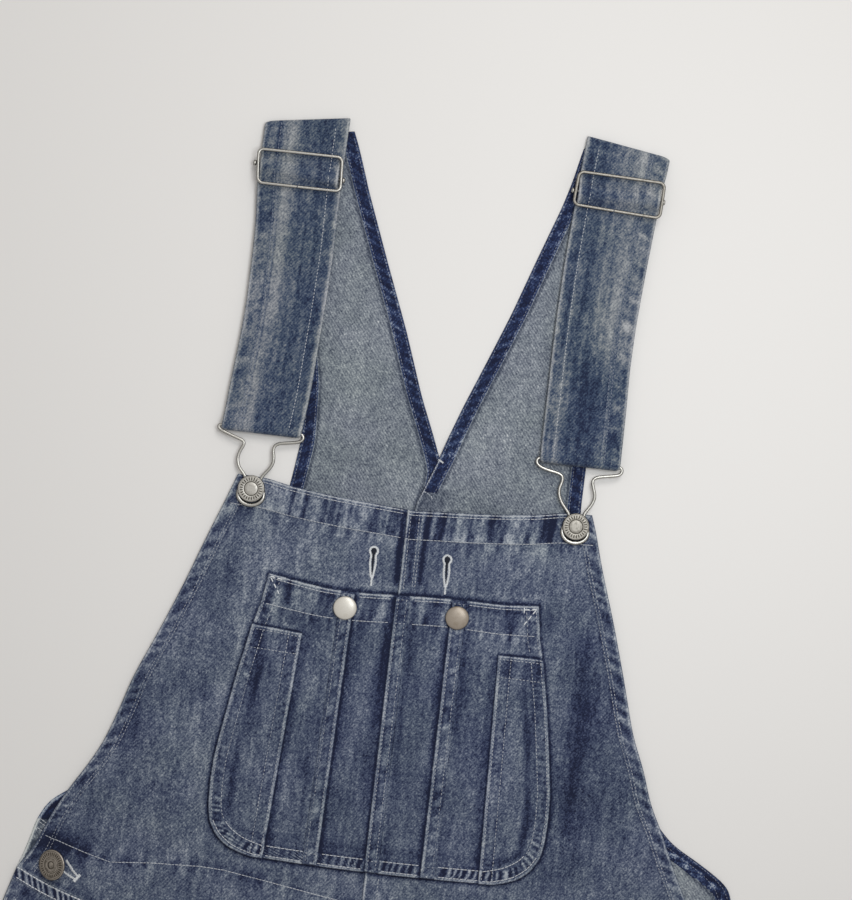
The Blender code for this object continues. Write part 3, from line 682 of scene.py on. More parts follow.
# %% Bib halves
# pale and dark patches of the bib: x, d, half-width, half-height, amount
BIB_FADES = [
    (-98, 78, 26, 30, 0.05), (-70, 41, 34, 13, 0.12), (-146, 150, 22, 40, 0.03), (-150, 236, 40, 16, 0.08),
    (62, 40, 30, 12, 0.06), (112, 90, 10, 40, -0.08), (130, 150, 16, 60, -0.04), (-118, 120, 9, 60, -0.07),
    (-130, 205, 26, 22, -0.05), (150, 215, 25, 25, -0.04), (-199, 252, 18, 8, -0.3), (0, 255, 60, 10, 0.04),
    (92, 12, 9, 8, -0.25), (55, 12, 30, 10, -0.08), (24, 12, 8, 10, -0.1), (-40, 50, 14, 10, -0.06),
    (14, 48, 12, 14, -0.1), (124, 150, 26, 80, -0.1), (70, 30, 40, 20, 0.05),
    (-207, 258, 12, 9, -0.2), (-70, 36, 40, 12, -0.06), (150, 235, 40, 20, -0.06), (-190, 275, 20, 9, 0.08),
    (107, 40, 9, 15, 0.14), (98, 114, 15, 32, 0.17), (135, 136, 11, 17, -0.14),
    (90, 186, 9, 22, -0.14), (112, 204, 9, 20, -0.12), (96, 258, 14, 12, 0.12), (126, 258, 10, 12, 0.1),
    (-93, 62, 11, 40, 0.14), (-94, 128, 12, 24, 0.19), (-127, 50, 10, 20, 0.14), (-118, 186, 11, 26, 0.1),
    (-118, 206, 9, 14, 0.1), (-119, 250, 11, 18, 0.16), (-163, 172, 9, 22, -0.2), (-91, 182, 8, 22, -0.12),
    (-112, 62, 6, 20, -0.12), (152, 120, 8, 12, 0.12),
]  # fmt: skip
# dark or pale lines down the bib: from x, from d, to x, to d, half-width, amount; the dark lines just left of
# the centre lap's fold, just outside the pocket's upper sides and along the fold right of the pocket are
# painted shadow
BIB_STREAKS_AND_SHADE = [
    (-6.4, 9, -5.4, 57, 2.3, -0.75), (9.8, 10, 9.4, 56, 1.9, -0.6), (1.6, 12, 2.4, 56, 1.5, -0.5),
    (-11, 14, -11, 22, 2, 0.15),
    (122.5, 84, 124, 205, 5.6, -0.24), (127, 122, 126, 180, 4.0, -0.14), (-168, 200, -190, 240, 5, -0.08),
    (-94, 62, -99, 86, 2.4, -0.22), (94, 62, 97, 82, 2.6, -0.2),
]  # fmt: skip
# soft ridges of the bib: from x, from d, to x, to d, half-width, height
BIB_CREASES = [(-160, 90, -150, 140, 7, 0.6), (-175, 215, -120, 240, 9, 0.7), (60, 48, 85, 40, 7, 0.4)]
# the row of stitches above the waist seam: x, d
WAIST_ROW = [
    (-213, 248), (-203, 251), (-187, 256), (-169, 260.5), (-143, 258), (-111, 256.5), (-96, 257),
    (-58, 262), (-17, 268), (17, 268.5), (58, 263), (98, 257.5), (143, 258), (170, 259), (190, 255),
    (205, 250),
]  # fmt: skip


def in_pocket(x, d, grow=1.5):
    """1 under the pocket and near its rim, where the bib stays flat, and 0 away from it."""
    inside = smooth(-grow, grow, half(np.clip(d, 61, 245)) + 1 - np.abs(x))
    return inside * smooth(59 - grow, 61.5, d) * (1 - smooth(247, 249, d))


def pocket_outline():
    """The pocket's rim as a closed line of places."""
    d = np.concatenate([np.linspace(61, 215, 12), np.linspace(218, 245.4, 14)])
    x = half(d)
    across = np.linspace(-1, 1, 9)[1:-1]
    xs = np.concatenate([-x, across * x[-1], x[::-1], -across * x[0], [-x[0]]])
    ds = np.concatenate([d, np.full(7, 245.4), d[::-1], np.full(7, 61.0), [61.0]])
    return list(zip(xs, pocket_bend(xs, ds)))


def bib_marks(g, edge, seed):
    """Lift and wear of a bib half, whose armhole is at distance edge, with painted shade beside its hems, its
    waist row, the centre lap and some folds.
    """
    X, D, T = g.X, g.D, g.T
    slope = 0.92  # the armhole slants, so its square distance is less than that along x
    calm = 1 - 0.5 * smooth(60, 150, D) * (0.5 + 0.5 * wander(D, seed + 9, 24))
    rise, worn = hem(edge * slope, D + 5 * wander(D, seed + 10, 20), HEM_WIDE, seed, 0.5, 9.5, 0.36)
    worn = worn * calm - 0.1 * (1 - smooth(8, 9, edge * slope)) * (0.5 + wander(D, seed + 11, 16))
    band = 1 - smooth(19.2, 20.2, T)
    streak = wander(X + 0.1 * T, seed + 1, 3.0) + 0.5 * wander(X + 0.1 * T, seed + 2, 1.5)
    streak = streak + 0.5 * mottle(X, T, seed + 12, 3.4, 7)
    streak = streak * (0.75 + 0.25 * np.cos(2 * np.pi * (T - 5) / 13))
    rise = rise + band * (0.45 + 0.22 * streak) * smooth(6, 9, edge)
    crisp = np.sign(streak) * np.abs(streak) ** 0.75
    worn = worn + band * ((0.36 + 0.16 * (X > 10)) * crisp - 0.03 - 0.05 * (X > 10)) * smooth(5, 10, edge)
    short = bell(T, 23, 5)
    worn = worn + short * 0.3 * wander(X + 0.1 * T, seed + 3, 2.6)
    row, run = near(WAIST_ROW, X, D)
    worn = worn + 0.3 * bell(row, 0, 6) * wander(run + 0.2 * D, seed + 4, 3.0)
    # painted shade: a thin dark line on each side of the waist row, which lies in a groove
    worn = worn - 0.15 * bell(row, 1.3, 1.1)
    rise = rise + 0.25 * bell(row, 0, 4) * wander(run, seed + 4, 3.0)
    rise = rise - 0.25 * bell(row, 0, 0.8)
    seam = g.B
    worn = worn + 0.25 * bell(seam, 0, 5) * wander(X, seed + 5, 2.2)
    worn = worn + 0.05 * mottle(X, D, seed + 6, 16, 24) + 0.05 * mottle(X, D, seed + 8, 6, 9)
    worn = worn + fades(BIB_FADES, X, D) + streaks(BIB_STREAKS_AND_SHADE, X, D)
    flat = 1 - in_pocket(X, D)
    rise = rise + 0.5 * ridges(BIB_CREASES, X, D)
    return rise * flat, worn


BIB_EDGE = (0, 0.3, 0.8, 1.6, 4, 6.4, 8.7, 9.6)
bib_downs = lines(0, 271, 1.75, (19.5,))
left = Grid(bib_downs, lambda d: read(BIB, d, 1), lambda d: 5 + 0 * d, bib_bend, 1.75, BIB_EDGE)
rise, worn = bib_marks(left, left.L, 11)
rise = rise * (1 - smooth(-7.5, -6, left.X))
beside, _ = near(pocket_outline(), left.X, left.D)
base = front_height(left.X, left.D)
panel("cloth_bib_left", left, base, CLOTH, rise, worn, FACE_OUT, contact=beside)

right = Grid(bib_downs, lambda d: -3.6 + 0 * d, lambda d: read(BIB, d, 2), bib_bend, 1.75, BIB_EDGE)
rise, worn = bib_marks(right, right.R, 31)
lap = STEP * (1 - smooth(5.3, 15.6, right.X))
puff = bell(right.X, 0.6, 3.0)
twist = wander(right.D, 35, 3.2)
worn = worn + 0.2 * bell(right.X, -2.8, 0.9) + puff * 0.14 * twist
rise = rise + (1 - in_pocket(right.X, right.D)) * puff * (0.25 + 0.2 * twist)
beside, _ = near(pocket_outline(), right.X, right.D)
base = front_height(right.X, right.D) + lap
panel("cloth_bib_right", right, base, CLOTH, rise, worn, FACE_OUT, contact=beside)
print("bib", left.X.shape, right.X.shape)

# %% [markdown]
# Rows of stitching follow the edges at the insets measured from the photograph.

# %% Bib stitching
down = np.arange(1.0, 270.5, 3.0)


def top_row(inset, x0, x1):
    """A row across the bib, inset below its dipped top edge."""
    x = np.linspace(x0, x1, 80)
    return np.stack([x, bib_bend(x, np.full(80, float(inset)))], -1)


def upright(x, d0, d1):
    return np.stack([np.full(60, float(x)), np.linspace(d0, d1, 60)], -1)


def lean(x0, d0, x1, d1):
    return np.stack([np.linspace(x0, x1, 60), np.linspace(d0, d1, 60)], -1)


waist_row = np.array(WAIST_ROW, float)
left_rows = [along(i, BIB, 1, down, bib_bend) for i in (8.0, 10.0)]
left_rows += [along(1.6, BIB, 1, down[70:], bib_bend)]
stitches("stitch_bib_left", "cloth_bib_left", left_rows, seed=3, clean=0.35, wide=0.48)
left_rows = [top_row(0.9, -109, -6), top_row(2.9, -109, -6), top_row(19.5, -119, -6), waist_row[:9]]
stitches("stitch_top_left", "cloth_bib_left", left_rows, seed=4, clean=0.85, fill=1.2, wide=0.6)
right_rows = [along(i, BIB, 2, down, bib_bend, -1) for i in (8.0, 10.0)]
right_rows += [lean(-2.7, 12, -2.3, 62), lean(-1.0, 12, -0.4, 62)]
right_rows += [lean(4.6, 12, 5.0, 60), lean(6.6, 12, 6.8, 60)]
right_rows += [upright(-2.4, 250, 296), upright(5.6, 250, 296)]
stitches("stitch_bib_right", "cloth_bib_right", right_rows, seed=5, clean=0.5, wide=0.52)
right_rows = [top_row(0.9, -3, 109), top_row(2.9, -3, 109), top_row(19.5, -3.2, 119), waist_row[9:]]
stitches("stitch_top_right", "cloth_bib_right", right_rows, seed=6, clean=0.85, fill=1.2, wide=0.6)
print("bib sewn")

# %% [markdown]
# ## The chest pocket
# One wide pocket is divided by three raised bands, and a narrow pen pocket sits on each side. Denim that
# is turned under and sewn wears pale on the fold, and the cloth beside it is painted dark, partly as dye
# and lint and partly as painted shadow, which draws every edge.

# %% Pocket, bands and pen pockets
# dark or pale lines on the pocket: from x, from d, to x, to d, half-width, amount; the dark lines beside the
# bands' edges and the pen pockets' inner edges are painted shadow
POCKET_STREAKS_AND_SHADE = [
    (-74, 66, -74, 79, 2.6, -0.5), (-7.5, 66, -8.5, 150, 2.2, -0.32), (-18, 70, -20, 84, 3.0, -0.28),
    (-52, 66, -53, 80, 2.6, -0.1),
    (-28, 84, -32, 242, 4.2, -0.2), (44, 66, 44, 150, 1.8, -0.2), (7.5, 70, 8, 240, 2.2, -0.18),
    (-8.5, 84, -8.5, 242, 3.0, -0.16), (25, 68, 24, 84, 3, -0.2),
    (-59, 98, -68, 240, 2.4, -0.24), (62, 98, 67, 240, 2.4, -0.22), (-47, 110, -50, 240, 2.2, -0.12),
    (52, 84, 54, 90, 4, 0.1),
    (-24, 100, -22, 225, 5, 0.05), (18, 100, 20, 225, 5, 0.03), (-80, 64, -82, 90, 2, 0.1),
    (70, 64, 72, 88, 3, -0.14),
    (30, 90, 29, 235, 2.0, -0.16), (-88, 86, -86, 94, 2, -0.2), (60, 66, 61, 80, 3, 0.12),
    (82, 64, 84, 92, 2.4, -0.1),
]  # fmt: skip
POCKET_FADES = [
    (-20, 160, 14, 60, -0.08), (20, 150, 14, 70, -0.12), (-58, 90, 16, 6, -0.1), (0, 238, 60, 7, -0.08),
    (52, 150, 12, 60, -0.03),
    (-56, 150, 8, 70, -0.04), (-18, 200, 16, 30, -0.06), (24, 120, 18, 50, -0.07),
]


def pocket_edge(g, seed, rope=0.4):
    """The pocket's turned rim: puckered between its two rows, most at the lower corners, dark inside them."""
    E, run = near(pocket_outline(), g.X, g.D)
    E = np.where(g.flat < 84, np.minimum(E, np.minimum(g.L, g.R)), E)
    sides = np.where(g.flat < 78, np.minimum(g.L, g.R), E)
    twist = pucker(run - 0.25 * E, seed, 5.0)
    strong = 0.45 + 0.55 * smooth(196, 226, g.D)
    inside = 1 - smooth(7.8, 8.8, sides)
    worn = inside * (rope + 0.3 * smooth(196, 226, g.D)) * strong * twist * smooth(1.4, 3.6, E)
    worn = worn - 0.06 * inside * smooth(2, 4, E)
    worn = worn - 0.26 * bell(sides, 9.4, 0.7) * (0.6 + 0.4 * twist)
    deep = smooth(100, 130, g.D) * (1 - smooth(222, 236, g.D)) * wander(run, seed + 9, 22)
    worn = worn - (0.14 + 0.1 * deep) * bell(sides, 15, 3.0) * smooth(90, 120, g.D)
    return inside * (0.25 + 0.22 * strong * twist), worn, E


pocket = Grid(lines(61, 245.4, 1.6, (20,)), lambda d: -half(d), half, pocket_bend, 1.6)
rise, worn, away = pocket_edge(pocket, 51)
X, D, T = pocket.X, pocket.D, pocket.T
streak = wander(X + 0.3 * T, 52, 3.4) + 0.5 * wander(X, 53, 1.6)
band = 1 - smooth(19.6, 20.6, T)
worn = worn + band * 0.24 * streak - 0.22 * bell(T, 4.8, 1.3)
worn = worn + 0.3 * bell(T, 22.5, 4) * wander(X, 54, 2.4)
worn = worn + 0.07 * mottle(X, D, 55, 9, 26) + 0.05 * mottle(X, D, 56, 5, 9)
worn = worn + streaks(POCKET_STREAKS_AND_SHADE, X, D) + fades(POCKET_FADES, X, D)
# beside is each place's distance from a band's or pen pocket's edge, mostly on a band's folded side; the
# denim paints the cloth there dark, partly dirt and partly painted shadow of the edge
covered, beside = 0.0, 99.0
CRISP = {"a": 1, "b": -1, "c": -1}  # the side where a band's fold lies: 1 right, -1 left
# the pen pockets as bands that reach past the pocket's sides
PENS = {"left": [(61, -200, -62), (245.4, -200, -71)], "right": [(61, 65.6, 200), (245.4, 70, 200)]}
for mark, rows in {**BANDS, **PENS}.items():
    a, b = read(rows, D, 1, 0.1), read(rows, D, 2, 0.1)
    first = 95 if abs(rows[0][1]) > 65 or abs(rows[0][2]) > 150 else 60
    side = CRISP.get(mark, 0)
    before, after = (a - X) * (1.0 if side < 1 else 9.0), (X - b) * (1.0 if side > -1 else 9.0)
    out = np.maximum(np.maximum(before, after), 0)
    out = out + (2.0 if side == 0 else 0.0) * np.maximum(first - pocket.flat, 0) * (out < 5)
    out = np.where((pocket.flat < first - 8) & (side == 0), 99.0, out)
    beside = np.minimum(beside, out)
    under_it = smooth(-1.6, -0.2, X - a) * smooth(-1.6, -0.2, b - X) * smooth(first - 2, first, pocket.flat)
    covered = np.maximum(covered, under_it)
rise = rise + 0.25 * band * (1 + 0.5 * streak) + 0.1 * streak * bell(T, 23, 4)
rise = rise * (1 - covered)
base = pocket_height(X, D)
panel("cloth_pocket", pocket, base, CLOTH, rise, worn, FACE_OUT, away=away, contact=beside)

for mark, rows in BANDS.items():
    start, end = (lambda d, r=rows, c=column: read(r, d, c, 0.1) for column in (1, 2))
    g = Grid(lines(62, 244.6, 1.3), start, end, pocket_bend, 0.9, (0, 0.3, 0.8))
    seed = 60 + ord(mark)
    soft = g.L if CRISP[mark] > 0 else g.R
    away = np.where(soft < 4.4, 6.0, np.minimum(g.E, 9.0))
    twist = wander(g.D + 0.5 * g.X, seed, 2.1)
    e = np.minimum(g.L, g.R)
    crisp_side = g.R if CRISP[mark] > 0 else g.L
    worn = 0.26 * twist * smooth(1.2, 2.8, e) - 0.06 + 0.12 * wander(g.D, seed + 1, 14)
    worn = worn - 0.2 * bell(crisp_side, 2.6, 0.8) * (0.6 + 0.6 * twist)
    worn = worn - 0.12 * (1 - smooth(16, 18, g.T))
    thick = LAP * (0.45 + 0.55 * smooth(0, 4, soft))
    rise = 0.12 + 0.16 * twist * smooth(0.5, 2, e)
    base = pocket_height(g.X, g.D) + STEP
    panel("cloth_band_" + mark, g, base, thick, rise, worn, FACE_OUT, away=away)

for name, start, end, inner in (
    ("cloth_pen_pocket_left", lambda d: -half(d), lambda d: read(SMALL_LEFT, d, 1, 0.1), 1),
    ("cloth_pen_pocket_right", lambda d: read(SMALL_RIGHT, d, 1, 0.1), half, -1),
):
    g = Grid(lines(95.5, 245.4, 1.6, (15,)), start, end, pocket_bend, 1.3)
    outer, open_side = (g.L, g.R) if inner > 0 else (g.R, g.L)
    E, run = near(pocket_outline(), g.X, g.D)
    E = np.where(g.flat < 110, outer, E)
    twist = pucker(run - 0.25 * E, 71 + inner, 5.0)
    strong = 0.45 + 0.55 * smooth(196, 226, g.D)
    inside = 1 - smooth(7.8, 8.8, E)
    worn = inside * (0.36 + 0.34 * smooth(196, 226, g.D)) * strong * twist * smooth(1.4, 3.6, E)
    worn = worn - 0.06 * inside
    worn = worn - 0.2 * bell(E, 9.4, 0.7)
    deep = (0.32 + 0.2 * wander(run, 73 + inner, 22)) * bell(E, 14, 2.4)
    worn = worn - deep * smooth(105, 130, g.D)
    away = np.minimum(np.minimum(E, open_side), g.T)
    second = pucker(g.D + 0.5 * g.X, 75 + inner, 4.4)
    worn = worn + 0.2 * second * bell(open_side, 4.6, 2.4)
    worn = worn - 0.2 * bell(open_side, 8.4, 1.0)
    streak = wander(g.X, 77 + inner, 3.0)
    top = 1 - smooth(14.6, 15.4, g.T)
    worn = worn + top * (0.2 * streak) - 0.1 * smooth(3, 5, g.T) * top
    worn = worn - 0.2 * bell(g.X + 91 * inner, 2, 3.0) * (1 - smooth(150, 190, g.D))
    worn = worn + 0.06 * mottle(g.X, g.D, 79, 5, 18)
    rise = inside * (0.2 + 0.2 * twist) + 0.2 * top + 0.15 * second * bell(open_side, 5, 3.0)
    panel(name, g, pocket_height(g.X, g.D) + STEP, 1.0, rise, worn, FACE_OUT, away=away)
print("pocket built")

# %% [markdown]
# Rows run round the pocket's rim, across its top and along each band. A row stops where another piece
# lies over it, so each row is split into the parts that show.

# %% Pocket stitching
side_down = np.concatenate([np.arange(62, 215, 3.0), np.arange(215, 243, 1.2)])


def pocket_line(inset):
    """A row round the pocket's sides and lower edge, inset from its outline."""
    d = np.concatenate([side_down[side_down < 245.4 - inset], [245.4 - inset]])
    x = half(np.minimum(d + inset * smooth(205, 240, d), 245.4)) - inset
    x = np.minimum(x, half(d) - inset * 0.8)
    across = np.linspace(-x[-1], x[-1], 60)[1:-1]
    xs = np.concatenate([-x, across, x[::-1]])
    ds = np.concatenate([d, np.full(58, 245.4 - inset), d[::-1]])
    return np.stack([xs, pocket_bend(xs, ds)], -1)


def pocket_row(inset, x0, x1, top=61.0):
    x = np.linspace(x0, x1, 60)
    return np.stack([x, pocket_bend(x, np.full(60, top + inset))], -1)


def split(row, keep):
    """The parts of a row whose places satisfy keep."""
    flags = keep(row[:, 0], row[:, 1])
    parts, run = [], []
    for p, f in zip(row, flags):
        if f:
            run.append(p)
        elif len(run) > 1:
            parts.append(np.array(run))
            run = []
        else:
            run = []
    return parts + ([np.array(run)] if len(run) > 1 else [])


def on_small(x, d):
    return (d > 95.8) & ((x < read(SMALL_LEFT, d, 1, 0.1)) | (x > read(SMALL_RIGHT, d, 1, 0.1)))


def on_band(x, d):
    hit = np.zeros(len(x), bool)
    for r in BANDS.values():
        hit |= (x > read(r, d, 1, 0.1)) & (x < read(r, d, 2, 0.1))
    return hit


round_rows = [pocket_line(2.0), pocket_line(8.3)]
rows, low_rows = [], []
for row in round_rows:
    rows += split(row, lambda x, d: ~on_small(x, d) & ~on_band(x, d) & (d < 224))
    low_rows += split(row, lambda x, d: ~on_small(x, d) & ~on_band(x, d) & (d >= 224))
stitches("stitch_pocket_low", "cloth_pocket", low_rows, seed=7, clean=0.95, fill=1.2, wide=0.66)
tops = []
for inset in (0.9, 2.9, 20.0):
    tops += split(pocket_row(inset, -88, 88), lambda x, d: ~on_band(x, d))
stitches("stitch_pocket_top", "cloth_pocket", tops, seed=8, clean=0.8, fill=1.2, wide=0.58)
stitches("stitch_pocket", "cloth_pocket", rows, seed=9, pitch=2.5, clean=0.55, wide=0.52)
rows = []
for sign, drop in ((-1, 0.6), (1, 1.9)):
    rows.append(lean(sign * 87.0, 63.2 + drop, sign * 79.6, 74.5 + drop))
    rows.append(lean(sign * 88.0, 62.8 + drop, sign * 78.6, 64.2 + drop))
    rows.append(lean(sign * 79.0, 61.6 + drop, sign * 79.4, 67 + drop))
stitches("stitch_corners", "cloth_pocket", rows, bright_thread, seed=10, pitch=3.4, fill=0.95, wide=0.95)
for mark, r in BANDS.items():
    rows = []
    for column, inset in ((1, 1.9), (2, -1.9)):
        d = np.linspace(63, 243.5, 60)
        x = read(r, d, column, 0.1) + inset
        rows.append(np.stack([x, pocket_bend(x, d)], -1))
    for inset in (0.9, 2.9, 20.0):
        rows.append(pocket_row(inset, read(r, 61, 1, 0.1) + 0.4, read(r, 61, 2, 0.1) - 0.4))
    rows += [pocket_row(176.5, read(r, 240, 1, 0.1) + 0.6, read(r, 240, 2, 0.1) - 0.6)]
    look = {"pitch": 2.5, "fill": 0.74, "clean": 0.4, "wide": 0.5}
    stitches("stitch_band_" + mark, "cloth_band_" + mark, rows, seed=12 + ord(mark), **look)
for name, table, sign in (("left", SMALL_LEFT, -1), ("right", SMALL_RIGHT, 1)):
    rows, low_rows = [], []
    for row in round_rows:
        rows += split(row, lambda x, d, s=sign: on_small(x, d) & (x * s > 0) & (d > 97) & (d < 224))
        low_rows += split(row, lambda x, d, s=sign: on_small(x, d) & (x * s > 0) & (d >= 224))
    piece = "cloth_pen_pocket_" + name
    stitches("stitch_pen_low_" + name, piece, low_rows, seed=18 + sign, clean=0.95, fill=1.2, wide=0.66)
    d = np.linspace(96.5, 243, 60)
    for inset in (1.8, 8.6):
        x = read(table, d, 1, 0.1) + sign * inset
        rows.append(np.stack([x, pocket_bend(x, d)], -1))
    edge = float(read(table, 96, 1, 0.1))
    for inset in (0.9, 2.7, 15.0):
        rows.append(pocket_row(inset, edge + sign * 0.5, sign * float(half(96 + inset) - 0.8), 95.5))
    stitches("stitch_pen_pocket_" + name, piece, rows, seed=15 + sign, clean=0.5, wide=0.52)
print("pocket sewn")

# %% [markdown]
# ## The backs
# The back lies inside up, so the pale wrong side shows between the straps, edged by turned hems that
# still hold the face's indigo. The neckline's two halves cross at its point.

# %% Back halves
def under_strap(x, d):
    """1 where a strap lies on the back."""
    hit = smooth(-132.5, -130.5, x) * (1 - smooth(-70, -68, x))
    hit = hit * smooth(-238, -236, d) * (1 - smooth(-26, -24, d))
    other = smooth(75.5, 77.5, x) * (1 - smooth(139.5, 141.5, x))
    other = other * smooth(-243, -241, d) * (1 - smooth(-28.5, -26.5, d))
    return np.maximum(hit, other)


def under_bib(x, d):
    """1 where the bib lies on the back."""
    flat = d - read(BIB_DIP, np.abs(x), 1, 3.0)
    wide = smooth(-1.5, 0.5, x - read(BIB, d, 1)) * smooth(-1.5, 0.5, read(BIB, d, 2) - x)
    return wide * smooth(-2.5, -0.5, flat)


BACK_FADES = [
    (-45, -20, 26, 26, -0.02), (70, -40, 30, 40, 0.02), (-50, -120, 18, 40, 0.05), (60, -110, 14, 40, 0.02),
    (-60, 0, 40, 8, -0.06), (60, 4, 40, 8, -0.06),
]  # fmt: skip
NECK_SLANT = 0.94  # the neckline slants, so its square distance is less than that along x
HEM_EDGE = (0, 0.3, 0.8, 1.6, 3.0, 4.5, 6.0, 7.4, 8.4, 9.0, 9.6, 10.4, 11.2, 12.6, 14.2, 16.0, 18.2)


def left_back_bend(x, d):
    return back_bend(x, d) - 0.15 * (x + 95) * (1 - smooth(-226, -190, d))


def right_back_bend(x, d):
    return back_bend(x, d) + 0.15 * (x - 110) * (1 - smooth(-232.6, -195, d))


def near_line(g, column):
    """Distance in mm from a back half's armhole or side edge, measured square to it."""
    down = np.arange(150, 272, 3.0)
    table, bend = (BACK_LEFT, left_back_bend) if column == 1 else (BACK_RIGHT, right_back_bend)
    return near([tuple(p) for p in along(0.0, table, column, down, bend)], g.X, g.D)[0]


def back_marks(g, neck, arm, seed, point):
    """Lift, wear and turned hems of a back half, with painted shade beside the hems' inner edges. neck and
    arm are distances from those edges.
    """
    X, D = g.X, g.D
    open_ = 1 - np.maximum(under_strap(X, D), under_bib(X, D))
    neck_rise, neck_worn = hem(neck * NECK_SLANT, D, HEM_WIDE, seed, 0.5, 7.0, 0.3)
    arm_rise, arm_worn = hem(arm, D, HEM_WIDE, seed + 1, 0.5, 9.0, 0.3)
    upper = 1 - smooth(point - 3, point + 1, D)
    rise = np.maximum(neck_rise * upper, arm_rise)
    worn = neck_worn * upper + arm_worn
    worn = worn + 0.05 * mottle(X, D, seed + 2, 22, 30)
    worn = worn + 0.04 * mottle(X, D, seed + 3, 7, 9) + fades(BACK_FADES, X, D)
    # the hem's inner fold wears to a pale line, and the dark line beside it is painted shade
    for far, on in ((neck * NECK_SLANT, upper), (arm, 1.0)):
        pale, dark = bell(far, 8.7, 0.55), bell(far, 10.0, 0.7)
        worn = worn + on * (0.5 * pale - 0.34 * dark)
    return rise * (0.15 + 0.85 * open_), worn


def middle(v):
    """A grid's values at the middle of each face."""
    return (v[:-1, :-1] + v[1:, 1:]) / 2


downs = np.concatenate([lines(-226, 12, 1.8)[:-1], np.linspace(12, 205, 24)[:-1], lines(205, 271, 2.2)])
start, end = (lambda d, c=c: read(BACK_LEFT, d, c, 3) for c in (1, 2))
g = Grid(downs, start, end, left_back_bend, 5.0, HEM_EDGE)
arm = np.where(g.D > 165, near_line(g, 1), g.L)
rise, worn = back_marks(g, g.R, arm, 81, 14)
worn = worn - 0.35 * smooth(205, 215, g.D) * (1 - smooth(234, 238, g.D)) * smooth(1, 2.5, arm)
worn = worn - smooth(236, 240, g.D) * (0.2 + 0.2 * wander(g.D, 85, 5)) * smooth(1.2, 3, arm)
worn = worn + 0.7 * smooth(215, 222, g.D) * bell(arm, 0.7, 0.8)
rise = rise * (1 - smooth(-40, -32, g.D) * smooth(-8, 0, g.X)) * (1 - smooth(-8, -2, g.D))
pick = ((middle(arm) < 9.0) & (middle(g.D) < 237)) | ((middle(g.R) * NECK_SLANT < 9.0) & (middle(g.D) < 8))
panel("cloth_back_left", g, 0.0, CLOTH, rise, worn, [wrong_cloth, face_cloth, hem_cloth], pick)

downs = np.concatenate([lines(-232.6, 12, 1.8)[:-1], np.linspace(12, 165, 20)[:-1], lines(165, 271, 2.0)])
start, end = (lambda d, c=c: read(BACK_RIGHT, d, c, 3) for c in (1, 2))
g = Grid(downs, start, end, right_back_bend, 5.0, HEM_EDGE)
arm = np.where(g.D > 165, near_line(g, 2), g.R)
edge = read(BACK_RIGHT, g.flat, 1, 3)
base = STEP * smooth(-46, -30, g.flat) * (1 - smooth(10.5, 20.7, g.X - edge))
rise, worn = back_marks(g, g.L, arm, 91, -5)
lower = smooth(150, 190, g.D)
blob = np.clip(np.sin(2 * np.pi * (g.D + 1.2 * g.X) / 17.0) + 0.2, 0, 1) ** 0.7
blob = blob * bell(arm, 5.6, 2.2)
worn = worn + lower * (0.8 * blob - 0.1 * (arm < 9.5)) + 0.08 * lower * (arm > 9.5)
rise = rise + lower * 0.2 * blob * (1 - under_bib(g.X, g.D))
patch = (1 - smooth(16, 20, g.L)) * smooth(-6, -3, g.D) * (1 - smooth(9, 12, g.D))
worn = worn - patch * (0.2 + 0.16 * wander(g.D * 1.2 + g.X, 95, 1.6))
pick = (middle(arm) < 9.0) | ((middle(g.L) * NECK_SLANT < 9.0) & (middle(g.D) < -1.6))
panel("cloth_back_right", g, base, CLOTH, rise, worn, [wrong_cloth, face_cloth, hem_cloth], pick)
print("backs built")

# %% [markdown]
# The back's hems are sewn with thread that has taken up dye. The rows show on the outside too, which lies
# on the floor, with longer stitches pressed flat.

# %% Back stitching
up = np.arange(-222, 14, 3.0)
rows = [along(i, BACK_LEFT, 2, up, left_back_bend, -1) for i in (1.6, 8.2)]
rows += [along(i, BACK_LEFT, 1, np.arange(-222, 262, 3.0), left_back_bend) for i in (1.8, 7.8)]
stitches("stitch_back_left", "cloth_back_left", rows, dyed_thread, seed=21, wide=0.45)
rows = [lean(-220.6, 236.4, -212.5, 240.8), lean(-221.2, 238.4, -213.5, 242.6)]
rows.append(lean(-222.0, 242.6, -214.2, 246.4))
stitches("stitch_waist_corner", "cloth_back_left", rows, seed=22, clean=0.8, fill=1.1, wide=0.7)
up = np.arange(-228, 6, 3.0)
rows = [along(i, BACK_RIGHT, 1, up, right_back_bend) for i in (1.5, 8.2)]
rows += [along(i, BACK_RIGHT, 2, np.arange(-228, 262, 3.0), right_back_bend, -1) for i in (1.8, 7.8)]
stitches("stitch_back_right", "cloth_back_right", rows, dyed_thread, seed=23, wide=0.45)
zig = np.array([(4.4, -2.8), (6.3, -2.4), (8.4, -1.5), (10.6, -0.1), (11.6, 2.0)], float)
edge_line = along(0.9, BACK_RIGHT, 1, np.arange(-24, 4, 2.0), right_back_bend)
stitches("stitch_neck_point", "cloth_back_right", [zig, edge_line], seed=24, clean=0.55, fill=1.15, wide=0.7)
under = []
for table, bend, a, b in ((BACK_LEFT, left_back_bend, 1, 2), (BACK_RIGHT, right_back_bend, 2, 1)):
    sign = 1 if a == 1 else -1
    rows = [along(i, table, a, np.arange(-222, 262, 3.0), bend, sign) for i in (1.8, 7.8)]
    rows += [along(i, table, b, np.arange(-222, -6, 3.0), bend, -sign) for i in (1.8, 7.8)]
    under.append(rows)
stitches("stitch_under_left", "cloth_back_left", under[0], seed=25, side=-1, pitch=4.5)
under[1] += [upright(1, 20, 296), upright(7, 20, 296)]
stitches("stitch_under_right", "cloth_back_right", under[1], seed=26, side=-1, pitch=4.5)
print("backs sewn")

# %% [markdown]
# ## The legs
# Below the waist seam the legs lie flat and straight. Each has a felled side seam and inseam, a turned
# hem that has roped, soft lying folds, and the wash's fades down the thigh and over the knee. The waist
# seam is felled too: a narrow ridge, puckered between two rows of bright thread.

